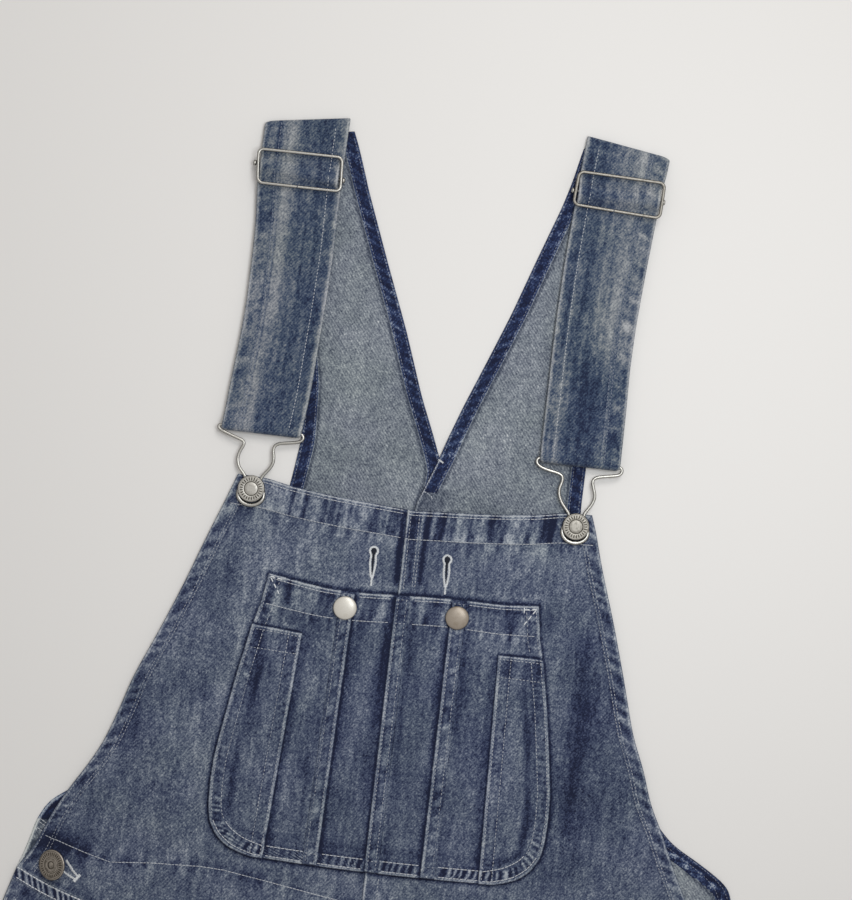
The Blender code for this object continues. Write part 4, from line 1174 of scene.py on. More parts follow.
# %% Legs
LEG_FADES = [
    (-130, 430, 60, 110, 0.16), (-150, 760, 55, 110, 0.1), (135, 440, 60, 110, 0.15),
    (140, 780, 55, 110, 0.09),
    (-30, 520, 40, 40, -0.08), (40, 540, 40, 40, -0.08), (-230, 640, 20, 180, -0.08),
    (235, 660, 20, 180, -0.08),
    (-170, 1120, 70, 60, -0.05), (150, 1130, 70, 60, -0.04), (-222, 292, 12, 8, -0.1),
]  # fmt: skip
CREASES = [
    (-20, 500, -110, 470, 5, 0.14), (-24, 530, -130, 505, 6, 0.12), (-10, 470, -90, 430, 5, 0.1),
    (20, 505, 115, 468, 5, 0.13), (24, 540, 140, 512, 6, 0.12), (12, 476, 96, 438, 5, 0.1),
    (-205, 700, -120, 720, 7, 0.1), (-190, 745, -90, 735, 6, 0.08), (90, 720, 200, 700, 7, 0.1),
    (100, 760, 190, 765, 6, 0.08),
]  # fmt: skip


def leg_edge(d, column, front):
    value = read(LEGS, d, column)
    if front and column in (1, 4):
        value = np.where(d < 330, read(FRONT_SIDES, d, 1 if column == 1 else 2), value)
    return value + {2: -GAP / 2, 3: GAP / 2}.get(column, 0)


for side, low, high in (("left", 1, 2), ("right", 3, 4)):
    for front in (True, False):
        step = 5.0 if front else 8.0
        near_hem = (0, 0.3, 0.8, 1.6, 4, 7, 9.5)
        downs = np.concatenate([lines(271, 330, 1.8)[:-1], lines(330, 1228, step, (1210,))])
        start, end = (lambda d, c=c: leg_edge(d, c, front) for c in (low, high))
        g = Grid(downs, start, end, leg_bend, step, near_hem)
        outer, inner = (g.L, g.R) if side == "left" else (g.R, g.L)
        seed = 101 + 10 * (side == "right") + 5 * front
        X, D = g.X, g.D
        seam_rise, seam_worn = hem(outer, D, HEM_WIDE, seed, 0.3, 9.0, 0.3)
        in_rise, in_worn = hem(inner, D, HEM_WIDE, seed + 1, 0.3, 9.0, 0.25)
        turn = 1 - smooth(17.5, 19, g.B)
        rope = wander(X + 0.7 * g.B, seed + 2, 3.8) * np.sin(np.pi * np.clip(g.B / 18, 0, 1))
        waist_in = 1 - smooth(7.0, 8.6, g.T * (1 if front else 0) + 20 * (not front))
        blob = np.sin(2 * np.pi * (X + 2 * wander(X, seed + 3, 14)) / 4.6) * bell(g.T, 4, 2.6)
        worn = seam_worn + in_worn + turn * (0.5 * rope - 0.05) + 0.3 * bell(g.B, 0, 1.3)
        worn = worn + waist_in * (0.5 * blob - 0.14) * (not front)
        worn = worn + 0.3 * bell(g.T, 12, 4) * wander(X, seed + 4, 2.6) * front
        worn = worn + 0.06 * mottle(X, D, 105, 30, 60) + 0.05 * mottle(X, D, 106, 9, 16)
        if front:
            worn = worn + fades(LEG_FADES, X, D) + streaks(CREASES, X, D) + 0.03 * ridges(LEG_FOLDS, X, D)
        base = leg_height(X, D) if front else 0 * X
        free = 1.0 if front else 0.3
        rise = np.maximum(seam_rise, in_rise) * (smooth(8, 12, g.T) if front else 1)
        rise = rise + turn * (0.5 + 0.4 * rope) + waist_in * (0.35 + 0.3 * blob) * (not front)
        rise = rise * free
        if front:
            soft = 0.5 * ridges([(x0, d0, x1, d1, w, 1.0) for x0, d0, x1, d1, w, _ in CREASES], X, D)
            rise = rise + soft * smooth(0, 30, np.minimum(outer, inner))
            rise = rise + 0.25 * mottle(X, D, 107, 26, 34) * smooth(4, 30, g.E)
            rise = np.maximum(rise, -0.3)
            materials = FACE_OUT
        else:
            materials = [wrong_cloth, face_cloth]
        name = ("cloth_leg_front_" if front else "cloth_leg_back_") + side
        panel(name, g, base, CLOTH, rise, worn, materials)
        sign = 1 if side == "left" else -1
        d = np.arange(290, 1226, 6.0)
        rows = []
        edges = (low, high) if side == "left" else (high, low)
        for column, turn_in in zip(edges, (sign, -sign)):
            for inset in (2.0, 7.6):
                x = leg_edge(d, column, front) + turn_in * inset
                rows.append(np.stack([x, leg_bend(x, d)], -1))
        x = np.linspace(float(leg_edge(1209, low, front)) + 1, float(leg_edge(1209, high, front)) - 1, 60)
        rows.append(np.stack([x, np.full(60, 1209.5)], -1))
        if front:
            # the felled waist seam: a ridge puckered between its two rows
            start, end = (lambda d, c=c, e=e: leg_edge(d, c, True) + e for c, e in ((low, 0.2), (high, -0.2)))
            g = Grid(lines(269.6, 278.8, 1.1), start, end, leg_bend, 1.1, (0, 0.4))
            blob = pucker(g.X - 0.3 * g.T, seed + 6, 4.4)
            between = np.sin(np.pi * np.clip(g.T / 8.4, 0, 1)) ** 0.5
            worn = (0.75 * blob - 0.12) * between
            ridge = "seam_waist_" + side
            base = leg_height(g.X, g.D) + CLOTH + 0.02
            panel(ridge, g, base, 0.7, 0.2 * blob * between, worn, FACE_OUT, away=g.T)
            x = np.linspace(float(leg_edge(272, low, True)) + 0.8, float(leg_edge(272, high, True)) - 0.8, 90)
            seam_rows = [np.stack([x, waist(x) + inset], -1) for inset in (-0.4, 6.2)]
            look = {"seed": seed + 7, "clean": 0.5, "fill": 1.15, "wide": 0.85}
            stitches("stitch_waist_" + side, ridge, seam_rows, bright_thread, **look)
        pitch, facing = (3.6, 1) if front else (5.0, -1)
        stitches("stitch_" + name[6:], name, rows, seed=seed, pitch=pitch, wide=0.7, side=facing)
print("legs built and sewn")

# %% [markdown]
# ## The straps
# Each strap is one flat web of two plies. It comes off the back's tip, folds forward, rides over the
# slider's bar, runs down to the hook, turns round its bar and goes back up beneath itself to the slider.
# The wash has streaked it lengthwise, so its shade is read from a short table across its width, one above
# and one below, and uneven noise keeps the streaks from looking ruled.

# %% Straps
STRAP_LEFT = [
    (-234, -125, -70.2), (-186, -125.4, -71), (-168, -123.6, -70.8), (-150, -123.2, -70.6),
    (-113, -123.4, -72), (-90, -124.7, -73.2), (-72, -126.4, -74.2), (-57, -127.8, -75),
    (-36, -129.3, -77.2), (-29, -129.8, -77.9),
]  # fmt: skip
STRAP_RIGHT = [
    (-240, 84.3, 139.2), (-221, 82.4, 137.2), (-188, 80.3, 134.3), (-164, 78.9, 132.4),
    (-144, 78.2, 131.0), (-124, 77.6, 129.8), (-96, 77.6, 129.2), (-76, 77.6, 129.8),
    (-56, 77.6, 130.1), (-38, 77.6, 130.2), (-31, 77.9, 130),
]  # fmt: skip
# the d of each fold, slider bar and hook bar, the slants of the first two, and the x of the frame's sides
LEFT = {"fold": -233.5, "fold_tilt": -0.15, "bar": -199.5, "tilt": 0.085, "hook": -30.3}
LEFT["frame"] = (-126.0, -71.7)
RIGHT = {"fold": -240.0, "fold_tilt": 0.15, "bar": -207.6, "tilt": 0.017, "hook": -33.2}
RIGHT["frame"] = (80.8, 136.9)
BAR_Z, FRAME_Z = 4.4, 7.5
TURN = WIRE / 2 + GAP + WEB / 2
# how pale or dark the cloth is across a strap, above and below:
# share of the width from its outer edge, amount
SHADES = {
    "left": (
        [
            (0, 0.02), (0.1, -0.05), (0.2, 0), (0.25, 0.16), (0.29, 0.3), (0.33, 0.28), (0.38, 0.16),
            (0.43, -0.12), (0.5, -0.2), (0.57, -0.17), (0.66, -0.3), (0.74, -0.4), (0.8, -0.26),
            (0.86, -0.26), (0.91, -0.36), (0.95, 0), (1, 0.16),
        ],
        [
            (0, 0), (0.1, -0.05), (0.14, -0.05), (0.18, 0.1), (0.24, 0.22), (0.29, 0.24), (0.33, 0.04),
            (0.4, -0.12), (0.46, -0.18), (0.54, -0.26), (0.62, -0.22), (0.7, -0.17), (0.78, -0.16),
            (0.86, -0.26), (0.91, -0.3), (0.95, 0.08), (1, 0.1),
        ],
    ),
    "right": (
        [
            (0, 0.04), (0.05, 0), (0.1, 0.1), (0.15, 0), (0.19, 0.13), (0.225, -0.03), (0.265, 0.24),
            (0.32, 0.2), (0.4, 0.04), (0.47, 0.04), (0.53, 0), (0.58, -0.08), (0.66, -0.2), (0.72, -0.3),
            (0.78, -0.26), (0.83, -0.12), (0.87, -0.34), (0.91, -0.38), (0.95, -0.1), (1, 0.1),
        ],
        [
            (0, 0.02), (0.05, -0.08), (0.1, -0.14), (0.16, -0.26), (0.2, -0.2), (0.24, -0.08),
            (0.28, -0.18),
            (0.31, -0.15), (0.35, -0.3), (0.4, -0.42), (0.5, -0.4), (0.6, -0.36), (0.68, -0.3),
            (0.73, -0.22),
            (0.78, -0.06), (0.82, 0.03), (0.85, -0.06), (0.88, -0.28), (0.92, -0.06), (0.95, -0.12),
            (1, 0.1),
        ],
    ),
}  # fmt: skip


def arc(d, z, radius, start, end, count):
    turn = np.radians(np.linspace(start, end, count))
    return list(zip(d + radius * np.cos(turn), z + radius * np.sin(turn)))


def strap_path(fold, bar, hook):
    """A strap's middle line: back tip, fold, over the slider bar, round the hook, back to the bar."""
    low, high = STEP + WEB / 2, STEP + WEB + GAP + WEB / 2
    path = [(fold + 7.2, 0.8), (fold + 4, 0.8)]
    path += arc(fold + 1.1, 1.85, 1.05, -90, -270, 7)
    path += [(fold + 6, 3.0), (bar - 18, 3.8), (bar - 12, high), (bar - 8, 4.5)]
    path += [(bar - 5, 6.4), (bar - 2.6, 8.3), (bar, 8.55), (bar + 2.6, 8.3)]
    path += [(bar + 5, 6.4), (bar + 8, 4.5), (bar + 13, high)]
    path += [(d, high) for d in np.linspace(bar + 30, hook - 20, 7)]
    path += [(hook - 12, high), (hook - 7, 4.9), (hook - 3, 6.2)]
    path += arc(hook, BAR_Z, TURN, 90, -90, 8)
    path += [(d, low) for d in np.linspace(hook - 8, bar + 8, 7)]
    path += arc(bar, BAR_Z, TURN, -90, -295, 9)
    return np.array(path)


def shade_across(shades, share):
    """A table of shades read at each share of the strap's width."""
    return np.interp(share, [p for p, _ in shades], [v for _, v in shades])

HOOK_TURN = 31  # the path's point where it starts to turn round the hook's bar

def strap(name, table, size, mirror, seed):
    """A folded web. mirror is True where the outer edge is on the right."""
    fold, bar, hook, tilt, fold_tilt = (size[key] for key in ("fold", "bar", "hook", "tilt", "fold_tilt"))
    path = strap_path(fold, bar, hook)
    run = np.concatenate([[0], np.cumsum(np.hypot(*np.diff(path, axis=0).T))])
    turned = run[HOOK_TURN]
    # rows lie close at the fold, round the hook's bar and at the end, and wider between
    marks = (0, 14, turned - 9, turned + 8, run[-1] - 14, run[-1])
    spans = [np.arange(*span) for span in zip(marks[:-1], marks[1:], (0.45, 1.6, 0.6, 5, 0.7))]
    stops = np.concatenate([*spans, [run[-1]]])
    d, z = np.interp(stops, run, path[:, 0]), np.interp(stops, run, path[:, 1])
    step_d, step_z = np.gradient(d, stops), np.gradient(z, stops)
    slope = np.hypot(step_d, step_z)
    nd, nz = (-step_z / slope)[:, None], (step_d / slope)[:, None]
    back = (stops > turned + 1.0)[:, None]
    D0, Z0 = d[:, None], z[:, None]
    a, b = read(table, D0, 1) + 1.2 * back, read(table, D0, 2) - 1.2 * back
    # under the slider's frame the web is drawn in between its two sides
    squeeze = 1 - smooth(6, 10, np.abs(D0 - bar))
    a = a + squeeze * np.maximum(size["frame"][0] + 1.4 - a, 0)
    b = b - squeeze * np.maximum(b - size["frame"][1] + 1.4, 0)
    columns = [a + e for e in (0, 0.3, 0.8)]
    columns += [a + 1.6 + s * (b - a - 3.2) for s in np.linspace(0, 1, 38)]
    columns += [b - e for e in (0.8, 0.3, 0)]
    X = np.hstack(columns)
    L, R = X - a, b - X
    outer, inner = (R, L) if mirror else (L, R)
    near_bar = 1 - smooth(3, 8, np.abs(D0 - bar))
    near_fold = 1 - smooth(fold + 8, fold + 24, D0)
    slant = tilt * near_bar + fold_tilt * near_fold * (1 - near_bar)
    corner = np.clip(1 - outer / 6, 0, 1) ** 2
    D = D0 + slant * (X - (a + b) / 2) + 1.3 * near_fold * (1 - near_bar) * corner
    E = np.minimum(np.minimum(L, R), np.minimum(stops[:, None], run[-1] - stops[:, None]))
    e = 1 - np.clip(E / 0.8, 0, 1)
    rounded = np.sqrt(np.clip(1 - e * e, 0, 1))
    share = np.clip(outer / (L + R), 0, 1)
    low_end = smooth(-125, -75, D0)
    above, below = SHADES["right" if mirror else "left"]
    worn = shade_across(above, share) * (1 - low_end) + shade_across(below, share) * low_end
    worn = worn * (0.95 + 0.25 * mottle(X, D, seed, 30, 50)) + 0.08 * mottle(X, D, seed + 1, 5, 40)
    worn = worn + 0.09 * mottle(X, D, seed + 12, 2.4, 5)
    worn = worn + 0.1 * mottle(outer, D, seed + 8, 1.7, 45) + 0.05 * wander(outer, seed + 9, 1.8)
    twist = wander(D + 0.5 * outer, seed + 3, 3.4)
    side_band = bell(outer, 5.5, 4.5)
    worn = worn + side_band * (0.27 * twist - 0.03)
    # painted shade in the furrows of the two stitched rows
    for shaded_furrow in (10.4, 13.4):
        worn = worn - 0.26 * bell(outer, shaded_furrow, 0.8)
    ripple = wander(D, seed + 5, 4.0)
    worn = worn + 0.14 * ripple * bell(inner, 4, 3.5)
    rise = 0.22 * twist * side_band + 0.12 * ripple * bell(inner, 4, 3)
    rise = rise + 0.12 * mottle(X, D, seed + 6, 14, 22)
    front = ((stops > 17) & (stops < turned - 4))[:, None] & (np.abs(D0 - bar) > 12)
    rise = np.where(front, rise, 0.0) * rounded
    out = WEB / 2 * (0.1 + 0.9 * rounded) + rise
    top = place(X, D + nd * out, Z0 + nz * out)
    under = place(X, D - nd * WEB / 2 * (0.1 + 0.9 * rounded), Z0 - nz * WEB / 2 * (0.1 + 0.9 * rounded))
    shell(name, top, under, worn, [strap_cloth], away=np.minimum(L, R))
    SHEETS[name] = (0.0545, float(run[-1]) / 1000, 0.0535 * float(run[-1]) / 1000)
    rows, inner_rows = [], []
    downs = np.arange(fold + 3, hook - 1, 2.5)
    outer_column, turn_in = (2, -1) if mirror else (1, 1)
    places = [(inset, outer_column, turn_in) for inset in (1.1, 10.8, 13.0)]
    places += [(inset, 3 - outer_column, -turn_in) for inset in (8.6, 1.1)]
    for inset, column, sign in places:
        x = read(table, downs, column) + sign * inset
        keep = np.abs(downs - bar) > (9.5 if inset < 4 else 0)
        for part in (keep & (downs < bar), keep & (downs >= bar)):
            if part.sum() > 1:
                (inner_rows if inset == 8.6 else rows).append(np.stack([x[part], downs[part]], -1))
    stitches("stitch" + name[5:], name, rows, dyed_thread, seed=seed, pitch=2.2, wide=0.5, clean=0.8)
    stitches("stitch_inner" + name[11:], name, inner_rows, seed=seed + 11, pitch=2.2, wide=0.55, clean=0.85)
    print(name, top.shape, round(float(run[-1])), "mm long")


strap("cloth_strap_left", STRAP_LEFT, LEFT, False, 121)
strap("cloth_strap_right", STRAP_RIGHT, RIGHT, True, 141)

# %% [markdown]
# ## Wires, buttons and snaps
# The sliders and hooks are one bent wire each. The wire is round and smooth, so it is a bevelled curve.
# Each slider's frame leans a little and has its own four corners, and each hook has its own points.

# %% Wires
# from the bar's left end, round the hook: x from the button's middle, d
HEAD = [
    (5.6, 4.6), (7, 7), (8.1, 9.4), (8.5, 12), (7.9, 15.2), (6.1, 17.9), (3.4, 19.8), (0, 20.5),
    (-3.4, 19.8), (-6.1, 17.9), (-7.9, 15.2), (-8.5, 12), (-8.1, 9.4), (-7, 7), (-5.6, 4.6),
]
HOOKS = {
    "left": [
        (-24.0, -30.6), (26.6, -30.2), (28.4, -30.1), (29.5, -29.2), (29.8, -27.7), (28.9, -26.0),
        (26.8, -24.9), (21.8, -23.9),
        (15.6, -22.9), (12.7, -21.7), (11.4, -19.7), (11.3, -17.4), (12.2, -13.5), (12.1, -9.3),
        (10.3, -5.6), (7.0, -1.6), (4.9, 2.2),
        *HEAD, (-4.9, 2.2), (-5.3, 0.2), (-7.6, -2.2), (-10.1, -5.4), (-11.3, -10.6), (-10.2, -15),
        (-8.4, -18.6), (-8.0, -20.6),
        (-9.4, -22.2), (-14.1, -23.6), (-21.0, -26.1), (-24.2, -27.4), (-25.8, -28.8), (-25.6, -30.2),
    ],
    "right": [
        (-26.8, -33.4), (23.0, -33.1), (24.8, -32.7), (25.8, -31.3), (25.6, -29.4), (24.0, -27.8),
        (20.4, -26.9), (13.4, -25.7),
        (9.4, -24.6), (7.7, -22.8), (7.6, -20.6), (8.8, -17.2), (10.4, -12), (8.9, -6.8), (5.4, -1.8),
        (4.4, 0.6), (4.9, 2.2),
        *HEAD, (-4.9, 2.2), (-5.4, 0.4), (-7.4, -2.0), (-10.9, -6.0), (-13.2, -11), (-13.4, -15.2),
        (-12.2, -19), (-11.9, -21.6),
        (-12.7, -23.6), (-15.4, -24.8), (-22.6, -26.0), (-26.8, -27.3), (-29.0, -28.8), (-30.1, -30.6),
        (-29.6, -32.4), (-28.4, -33.3),
    ],
}  # fmt: skip


def rounded_line(points, closed, passes=2):
    """The same line with its corners cut twice, so that it bends smoothly."""
    points = np.asarray(points, float)
    for _ in range(passes):
        after = np.roll(points, -1, 0) if closed else points[1:]
        before = points if closed else points[:-1]
        pairs = np.stack([0.75 * before + 0.25 * after, 0.25 * before + 0.75 * after], 1)
        cut = pairs.reshape(-1, points.shape[1])
        points = cut if closed else np.concatenate([points[:1], cut[1:-1], points[-1:]])
    return points


def wire(name, points, closed, node, metal, swell=None):
    """One bent wire. swell is how much thicker it is round the hook's head."""
    curve = bpy.data.curves.new(name, "CURVE")
    curve.dimensions = "3D"
    curve.bevel_depth = WIRE / 2 / 1000
    curve.bevel_resolution = 4
    curve.use_fill_caps = True
    line = curve.splines.new("POLY")
    points = rounded_line(points, closed)
    line.points.add(len(points) - 1)
    for spot, (x, d, z) in zip(line.points, points):
        spot.co = (*place(x, d, z), 1)
        spot.radius = 1.0 if swell is None else 1 + swell * float(smooth(9, 16, d))
    line.use_cyclic_u = closed
    line.use_smooth = True
    curve.materials.append(metal)
    made = bpy.data.objects.new(name, curve)
    bpy.context.collection.objects.link(made)
    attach(made, "root")
    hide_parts(node)
    return made


# each frame's corners, lower right, upper right, upper left and lower left, and its wire's ends: x, d
FRAMES = {
    "left": ([(-70.9, -189.4), (-72.1, -211.5), (-126.6, -210.9), (-124.9, -189.1)], (-99, -189.2)),
    "right": ([(136.5, -196.2), (137.3, -219.1), (81.5, -220.5), (80.0, -198.9)], (106.5, -197.6)),
}
for side, (corners, gap) in FRAMES.items():
    loop = [(gap[0] + 0.3, gap[1])]
    for k, corner in enumerate(corners):
        before = np.subtract(gap if k == 0 else corners[k - 1], corner)
        after = np.subtract(gap if k == 3 else corners[k + 1], corner)
        u, v = before / np.hypot(*before), after / np.hypot(*after)
        for t in np.radians(np.linspace(0, 90, 7)):
            loop.append(tuple(np.array(corner) + 3.5 * ((1 - np.sin(t)) * u + (1 - np.cos(t)) * v)))
    loop.append((gap[0] - 0.3, gap[1]))
    metal = nickel if side == "left" else dulled
    wire("wire_slider_" + side, [(x, d, FRAME_Z) for x, d in loop], False, "slider_frame_" + side, metal)
for side, middle_x in (("left", -106), ("right", 106)):
    loop = []
    for x, d in HOOKS[side]:
        lift = BAR_Z - 0.4 * float(smooth(-20, 0, d))
        loop.append((middle_x + x, d - 0.14 * max(0.0, d - 12), lift))
    wire("wire_hook_" + side, loop, True, "hook_" + side, nickel, swell=0.45)
print("wires bent")

# %% [markdown]
# Turned metal pieces are lathed from a profile. Each button's ring carries plain radial ticks where the
# real one has lettering, which is left off with its figure, so that nothing on it can be read.

# %% Buttons, snaps and slider bars
def lathe(name, profile, foot, axis, materials, segments=56, ticks=None):
    """A turned piece. Profile rows are radius, height, material; ticks are inner, outer, height, count."""
    up = Vector(axis).normalized()
    side = up.orthogonal().normalized()
    other = up.cross(side)
    base = Vector(foot)
    points, faces, marks = [base + up * profile[0][1]], [], []
    turns = [2 * math.pi * k / segments for k in range(segments)]
    for radius, rise, _ in profile[1:-1]:
        points += [base + up * rise + (side * math.cos(t) + other * math.sin(t)) * radius for t in turns]
    points.append(base + up * profile[-1][1])
    last = len(points) - 1
    for k in range(segments):
        n = (k + 1) % segments
        faces += [(0, 1 + n, 1 + k), (last, last - segments + k, last - segments + n)]
        marks += [profile[1][2], profile[-1][2]]
        for ring in range(len(profile) - 3):
            a = 1 + ring * segments
            faces.append((a + k, a + n, a + n + segments, a + k + segments))
            marks.append(profile[ring + 2][2])
    if ticks:
        inner, outer, rise, count = ticks
        for k in range(count):
            t = 2 * math.pi * (k + 0.5) / count
            out = side * math.cos(t) + other * math.sin(t)
            across = up.cross(out)
            start = len(points)
            for z in (rise - 0.3, rise + 0.1):
                for r, w in ((inner, 0.28), (outer, 0.36), (outer, -0.36), (inner, -0.28)):
                    points.append(base + up * z + out * r + across * w)
            faces += [(start + 3, start + 2, start + 1, start), (start + 4, start + 5, start + 6, start + 7)]
            for m in range(4):
                n = (m + 1) % 4
                faces.append((start + m, start + n, start + 4 + n, start + 4 + m))
            marks += [1] * 6
    mesh = bpy.data.meshes.new(name)
    array = np.array([tuple(p) for p in points])
    mesh.from_pydata(place(array[:, 0], array[:, 1], array[:, 2]).tolist(), [], [f[::-1] for f in faces])
    for made in materials:
        mesh.materials.append(made)
    mesh.polygons.foreach_set("material_index", marks)
    mesh.set_sharp_from_angle(angle=math.radians(50))
    made = bpy.data.objects.new(name, mesh)
    bpy.context.collection.objects.link(made)
    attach(made, "root")
    return made


BIB_BUTTON = [
    (0, 0, 0), (3.4, 0, 0), (3.4, 2.3, 0), (8.1, 2.3, 1), (8.6, 2.55, 1), (8.8, 3.0, 1), (8.75, 3.5, 1),
    (8.5, 3.8, 1),
    (8.3, 3.95, 0), (8.05, 4.0, 0), (7.85, 3.9, 1), (7.65, 3.92, 0), (6.2, 3.97, 0), (4.75, 4.0, 0),
    (4.6, 3.92, 1), (4.2, 3.92, 1),
    (4.05, 4.0, 0), (2.4, 4.01, 0), (1.2, 4.02, 0), (0, 4.02, 0),
]  # fmt: skip
SIDE_BUTTON = [
    (0, 0, 0), (2.2, 0, 0), (2.2, 5.3, 0), (9.3, 5.3, 0), (9.8, 5.6, 0), (10.0, 6.0, 0), (9.9, 6.6, 0),
    (9.5, 6.95, 0), (9.1, 7.0, 0),
    (8.8, 6.85, 1), (8.5, 6.85, 0), (5.4, 7.1, 0), (5.1, 7.0, 1), (4.9, 7.1, 0), (4.3, 7.3, 0),
    (4.1, 7.2, 1), (3.9, 7.2, 0), (2.6, 7.35, 0),
    (2.3, 7.2, 1), (2.0, 7.2, 1), (1.8, 7.4, 0), (0.9, 7.5, 0), (0, 7.5, 0),
]  # fmt: skip
SNAP = [
    (0, 0, 0), (7.1, 0, 0), (7.5, 0.2, 0), (7.65, 0.55, 0), (7.5, 0.95, 0), (7.0, 1.35, 0),
    (6.2, 1.75, 0), (5.0, 2.05, 0),
    (3.6, 2.25, 0), (2.0, 2.36, 0), (1.0, 2.39, 0), (0, 2.4, 0),
]  # fmt: skip
LEAN = math.radians(25)
for side, sign in (("left", -1), ("right", 1)):
    x, d = sign * BUTTON_AT[0], BUTTON_AT[1]
    foot = (x, d, float(front_height(x, d)) + STEP)
    metals = [stamped if side == "left" else dulled, patina]
    made = lathe("button_bib_" + side, BIB_BUTTON, foot, (0, 0, 1), metals, ticks=(5.3, 7.3, 3.9, 25))
    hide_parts("bib_button_" + side)
    x, d = sign * SNAP_AT[0], SNAP_AT[1] - sign * 1.0
    foot = (x, d, float(pocket_height(x, d)) + STEP + LAP + GAP + 0.15)
    made = lathe("cap_snap_" + side, SNAP, foot, (0, 0, 1), [ivory if side == "left" else beige])
    for polygon in made.data.polygons:
        polygon.use_smooth = True
    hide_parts("snap_" + side)
    x, d = sign * SIDE_BUTTON_AT[0], SIDE_BUTTON_AT[1]
    axis = (sign * math.sin(LEAN), 0, math.cos(LEAN))
    foot, metals = (x - sign * 3.1, d - 1.1, STEP + 1.0), [brass, brass_dark]
    made = lathe("button_side_" + side, SIDE_BUTTON, foot, axis, metals, ticks=(5.8, 8.1, 6.95, 31))
    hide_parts("side_button_" + side)
for side, left_x, right_x, size in (("left", -129.4, -68.8, LEFT), ("right", 77.8, 139.2, RIGHT)):
    middle_x, bar, tilt = (left_x + right_x) / 2, size["bar"], size["tilt"]
    start = Vector((left_x, bar + tilt * (left_x - middle_x), BAR_Z))
    end = Vector((right_x, bar + tilt * (right_x - middle_x), BAR_Z))
    long_ = (end - start).length
    knob = [(0, 0, 0), (1.0, 0.05, 0), (1.5, 0.3, 0), (1.8, 0.8, 0), (1.85, 1.2, 0), (1.7, 1.7, 0)]
    knob += [(1.3, 2.1, 0), (0.9, 2.3, 0)]
    profile = knob + [(r, long_ - z, 0) for r, z, _ in reversed(knob)]
    made = lathe("bar_slider_" + side, profile, start, end - start, [nickel], 20)
    for polygon in made.data.polygons:
        polygon.use_smooth = True
    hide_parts("slider_bar_" + side)
print("buttons, snaps and bars turned")

# %% [markdown]
# Buttonholes are worked in satin stitch: thread laid side by side across the edge of a slit. Each bib
# keyhole has a round eye, two legs and a bar tack. The waist buttons' holes show a forked end.

# %% Buttonholes
def satin(line, wide, seed, pitch=0.5):
    """Close stitches across a line, as short spindles of thread."""
    line = np.asarray(line, float)
    run = np.concatenate([[0], np.cumsum(np.hypot(*np.diff(line, axis=0).T))])
    rng = np.random.default_rng(seed)
    rows = []
    for t in np.arange(0, run[-1], pitch):
        x, d = np.interp(t, run, line[:, 0]), np.interp(t, run, line[:, 1])
        x2, d2 = np.interp(t + 0.3, run, line[:, 0]), np.interp(t + 0.3, run, line[:, 1])
        if t + 0.3 > run[-1]:
            x2 = x + (x - np.interp(t - 0.3, run, line[:, 0]))
            d2 = d + (d - np.interp(t - 0.3, run, line[:, 1]))
        u, v = x2 - x, d2 - d
        size = math.hypot(u, v) or 1.0
        w = wide / 1.44 * rng.uniform(0.88, 1.1)
        rows.append([(x - v / size * w, d + u / size * w), (x + v / size * w, d - u / size * w)])
    return rows


def keyhole(x, d, x_low, length):
    """A keyhole's outline: the eye at (x, d), legs closing to a tack below."""
    turns = np.radians(np.linspace(60, -240, 26))
    eye = [(x + 2.7 * math.cos(t), d + 2.7 * math.sin(t)) for t in turns]
    lean_x = (x_low - x) / length
    right_leg = [(x_low + 0.5, d + length), (x + 1.9 + lean_x * 8, d + 9), (x + 1.7 + lean_x * 4, d + 5)]
    left_leg = [(x - 1.7 + lean_x * 4, d + 5), (x - 1.9 + lean_x * 8, d + 9), (x_low - 0.5, d + length)]
    return rounded_line(right_leg + eye + left_leg, False)


def worked(name, piece, parts, seed):
    rows = []
    for line, wide in parts:
        rows += satin(line, wide, seed)
    return stitches(name, piece, rows, bright_thread, pitch=50, wide=0.62, seed=seed, clean=0.75, fill=0.72)


def slit(name, piece, line, wide):
    """A thin dark strip in a buttonhole's opening: painted shade where the hole shows only shadow."""
    line = np.asarray(line, float)
    step = np.gradient(line, axis=0)
    size = np.hypot(step[:, 0], step[:, 1])[:, None]
    normal = np.stack([-step[:, 1], step[:, 0]], -1) / size
    wide = np.asarray(wide)[:, None] / 2
    both = np.stack([line + normal * wide, line - normal * wide], 1)
    heights = []
    for x, d in both.reshape(-1, 2):
        px, py, _ = place(x, d, 0)
        heights.append(TOPS[piece].ray_cast(Vector((px, py, 0.1)), Vector((0, 0, -1)))[0].z * 1000)
    z = np.array(heights).reshape(both.shape[:2])
    top, under = place(both[..., 0], both[..., 1], z + 0.1), place(both[..., 0], both[..., 1], z - 0.3)
    return shell(name, top, under, np.zeros(both.shape[:2]), [shade])


for side, x, x_low in (("left", -22.2, -21.7), ("right", 25.8, 26.6)):
    d, long_ = 39.5, 17.5
    piece = "cloth_bib_" + side
    outline = keyhole(x, d, x_low, long_)
    tack = [(x_low, d + long_ - 1.0), (x_low + 0.1, d + long_ + 5.0)]
    worked("buttonhole_" + side, piece, [(outline, 2.0), (tack, 1.7)], 41 if side == "left" else 43)
    opening = [(x, d - 2.2), (x, d - 1.2), (x, d), (x, d + 1.4), (x, d + 3)]
    opening += [(x + 0.3 * (x_low - x), d + 8), (x_low, d + long_ - 2)]
    slit("slit_" + side, piece, opening, [0.8, 3.0, 3.4, 2.6, 1.6, 1.2, 0.4])
for side, sign in (("left", -1), ("right", 1)):
    arms = [(sign * 197.4, 262.8), (sign * 193.0, 268.2), (sign * 188.6, 272.6)]
    low_arm = [(sign * 198.6, 270.0), (sign * 194.6, 272.4), (sign * 190.0, 274.4)]
    tack = [(sign * 190.8, 275.6), (sign * 187.6, 271.0)]
    worked("buttonhole_waist_" + side, "cloth_bib_" + side, [(arms, 2.1), (low_arm, 1.8), (tack, 2.6)], 47)
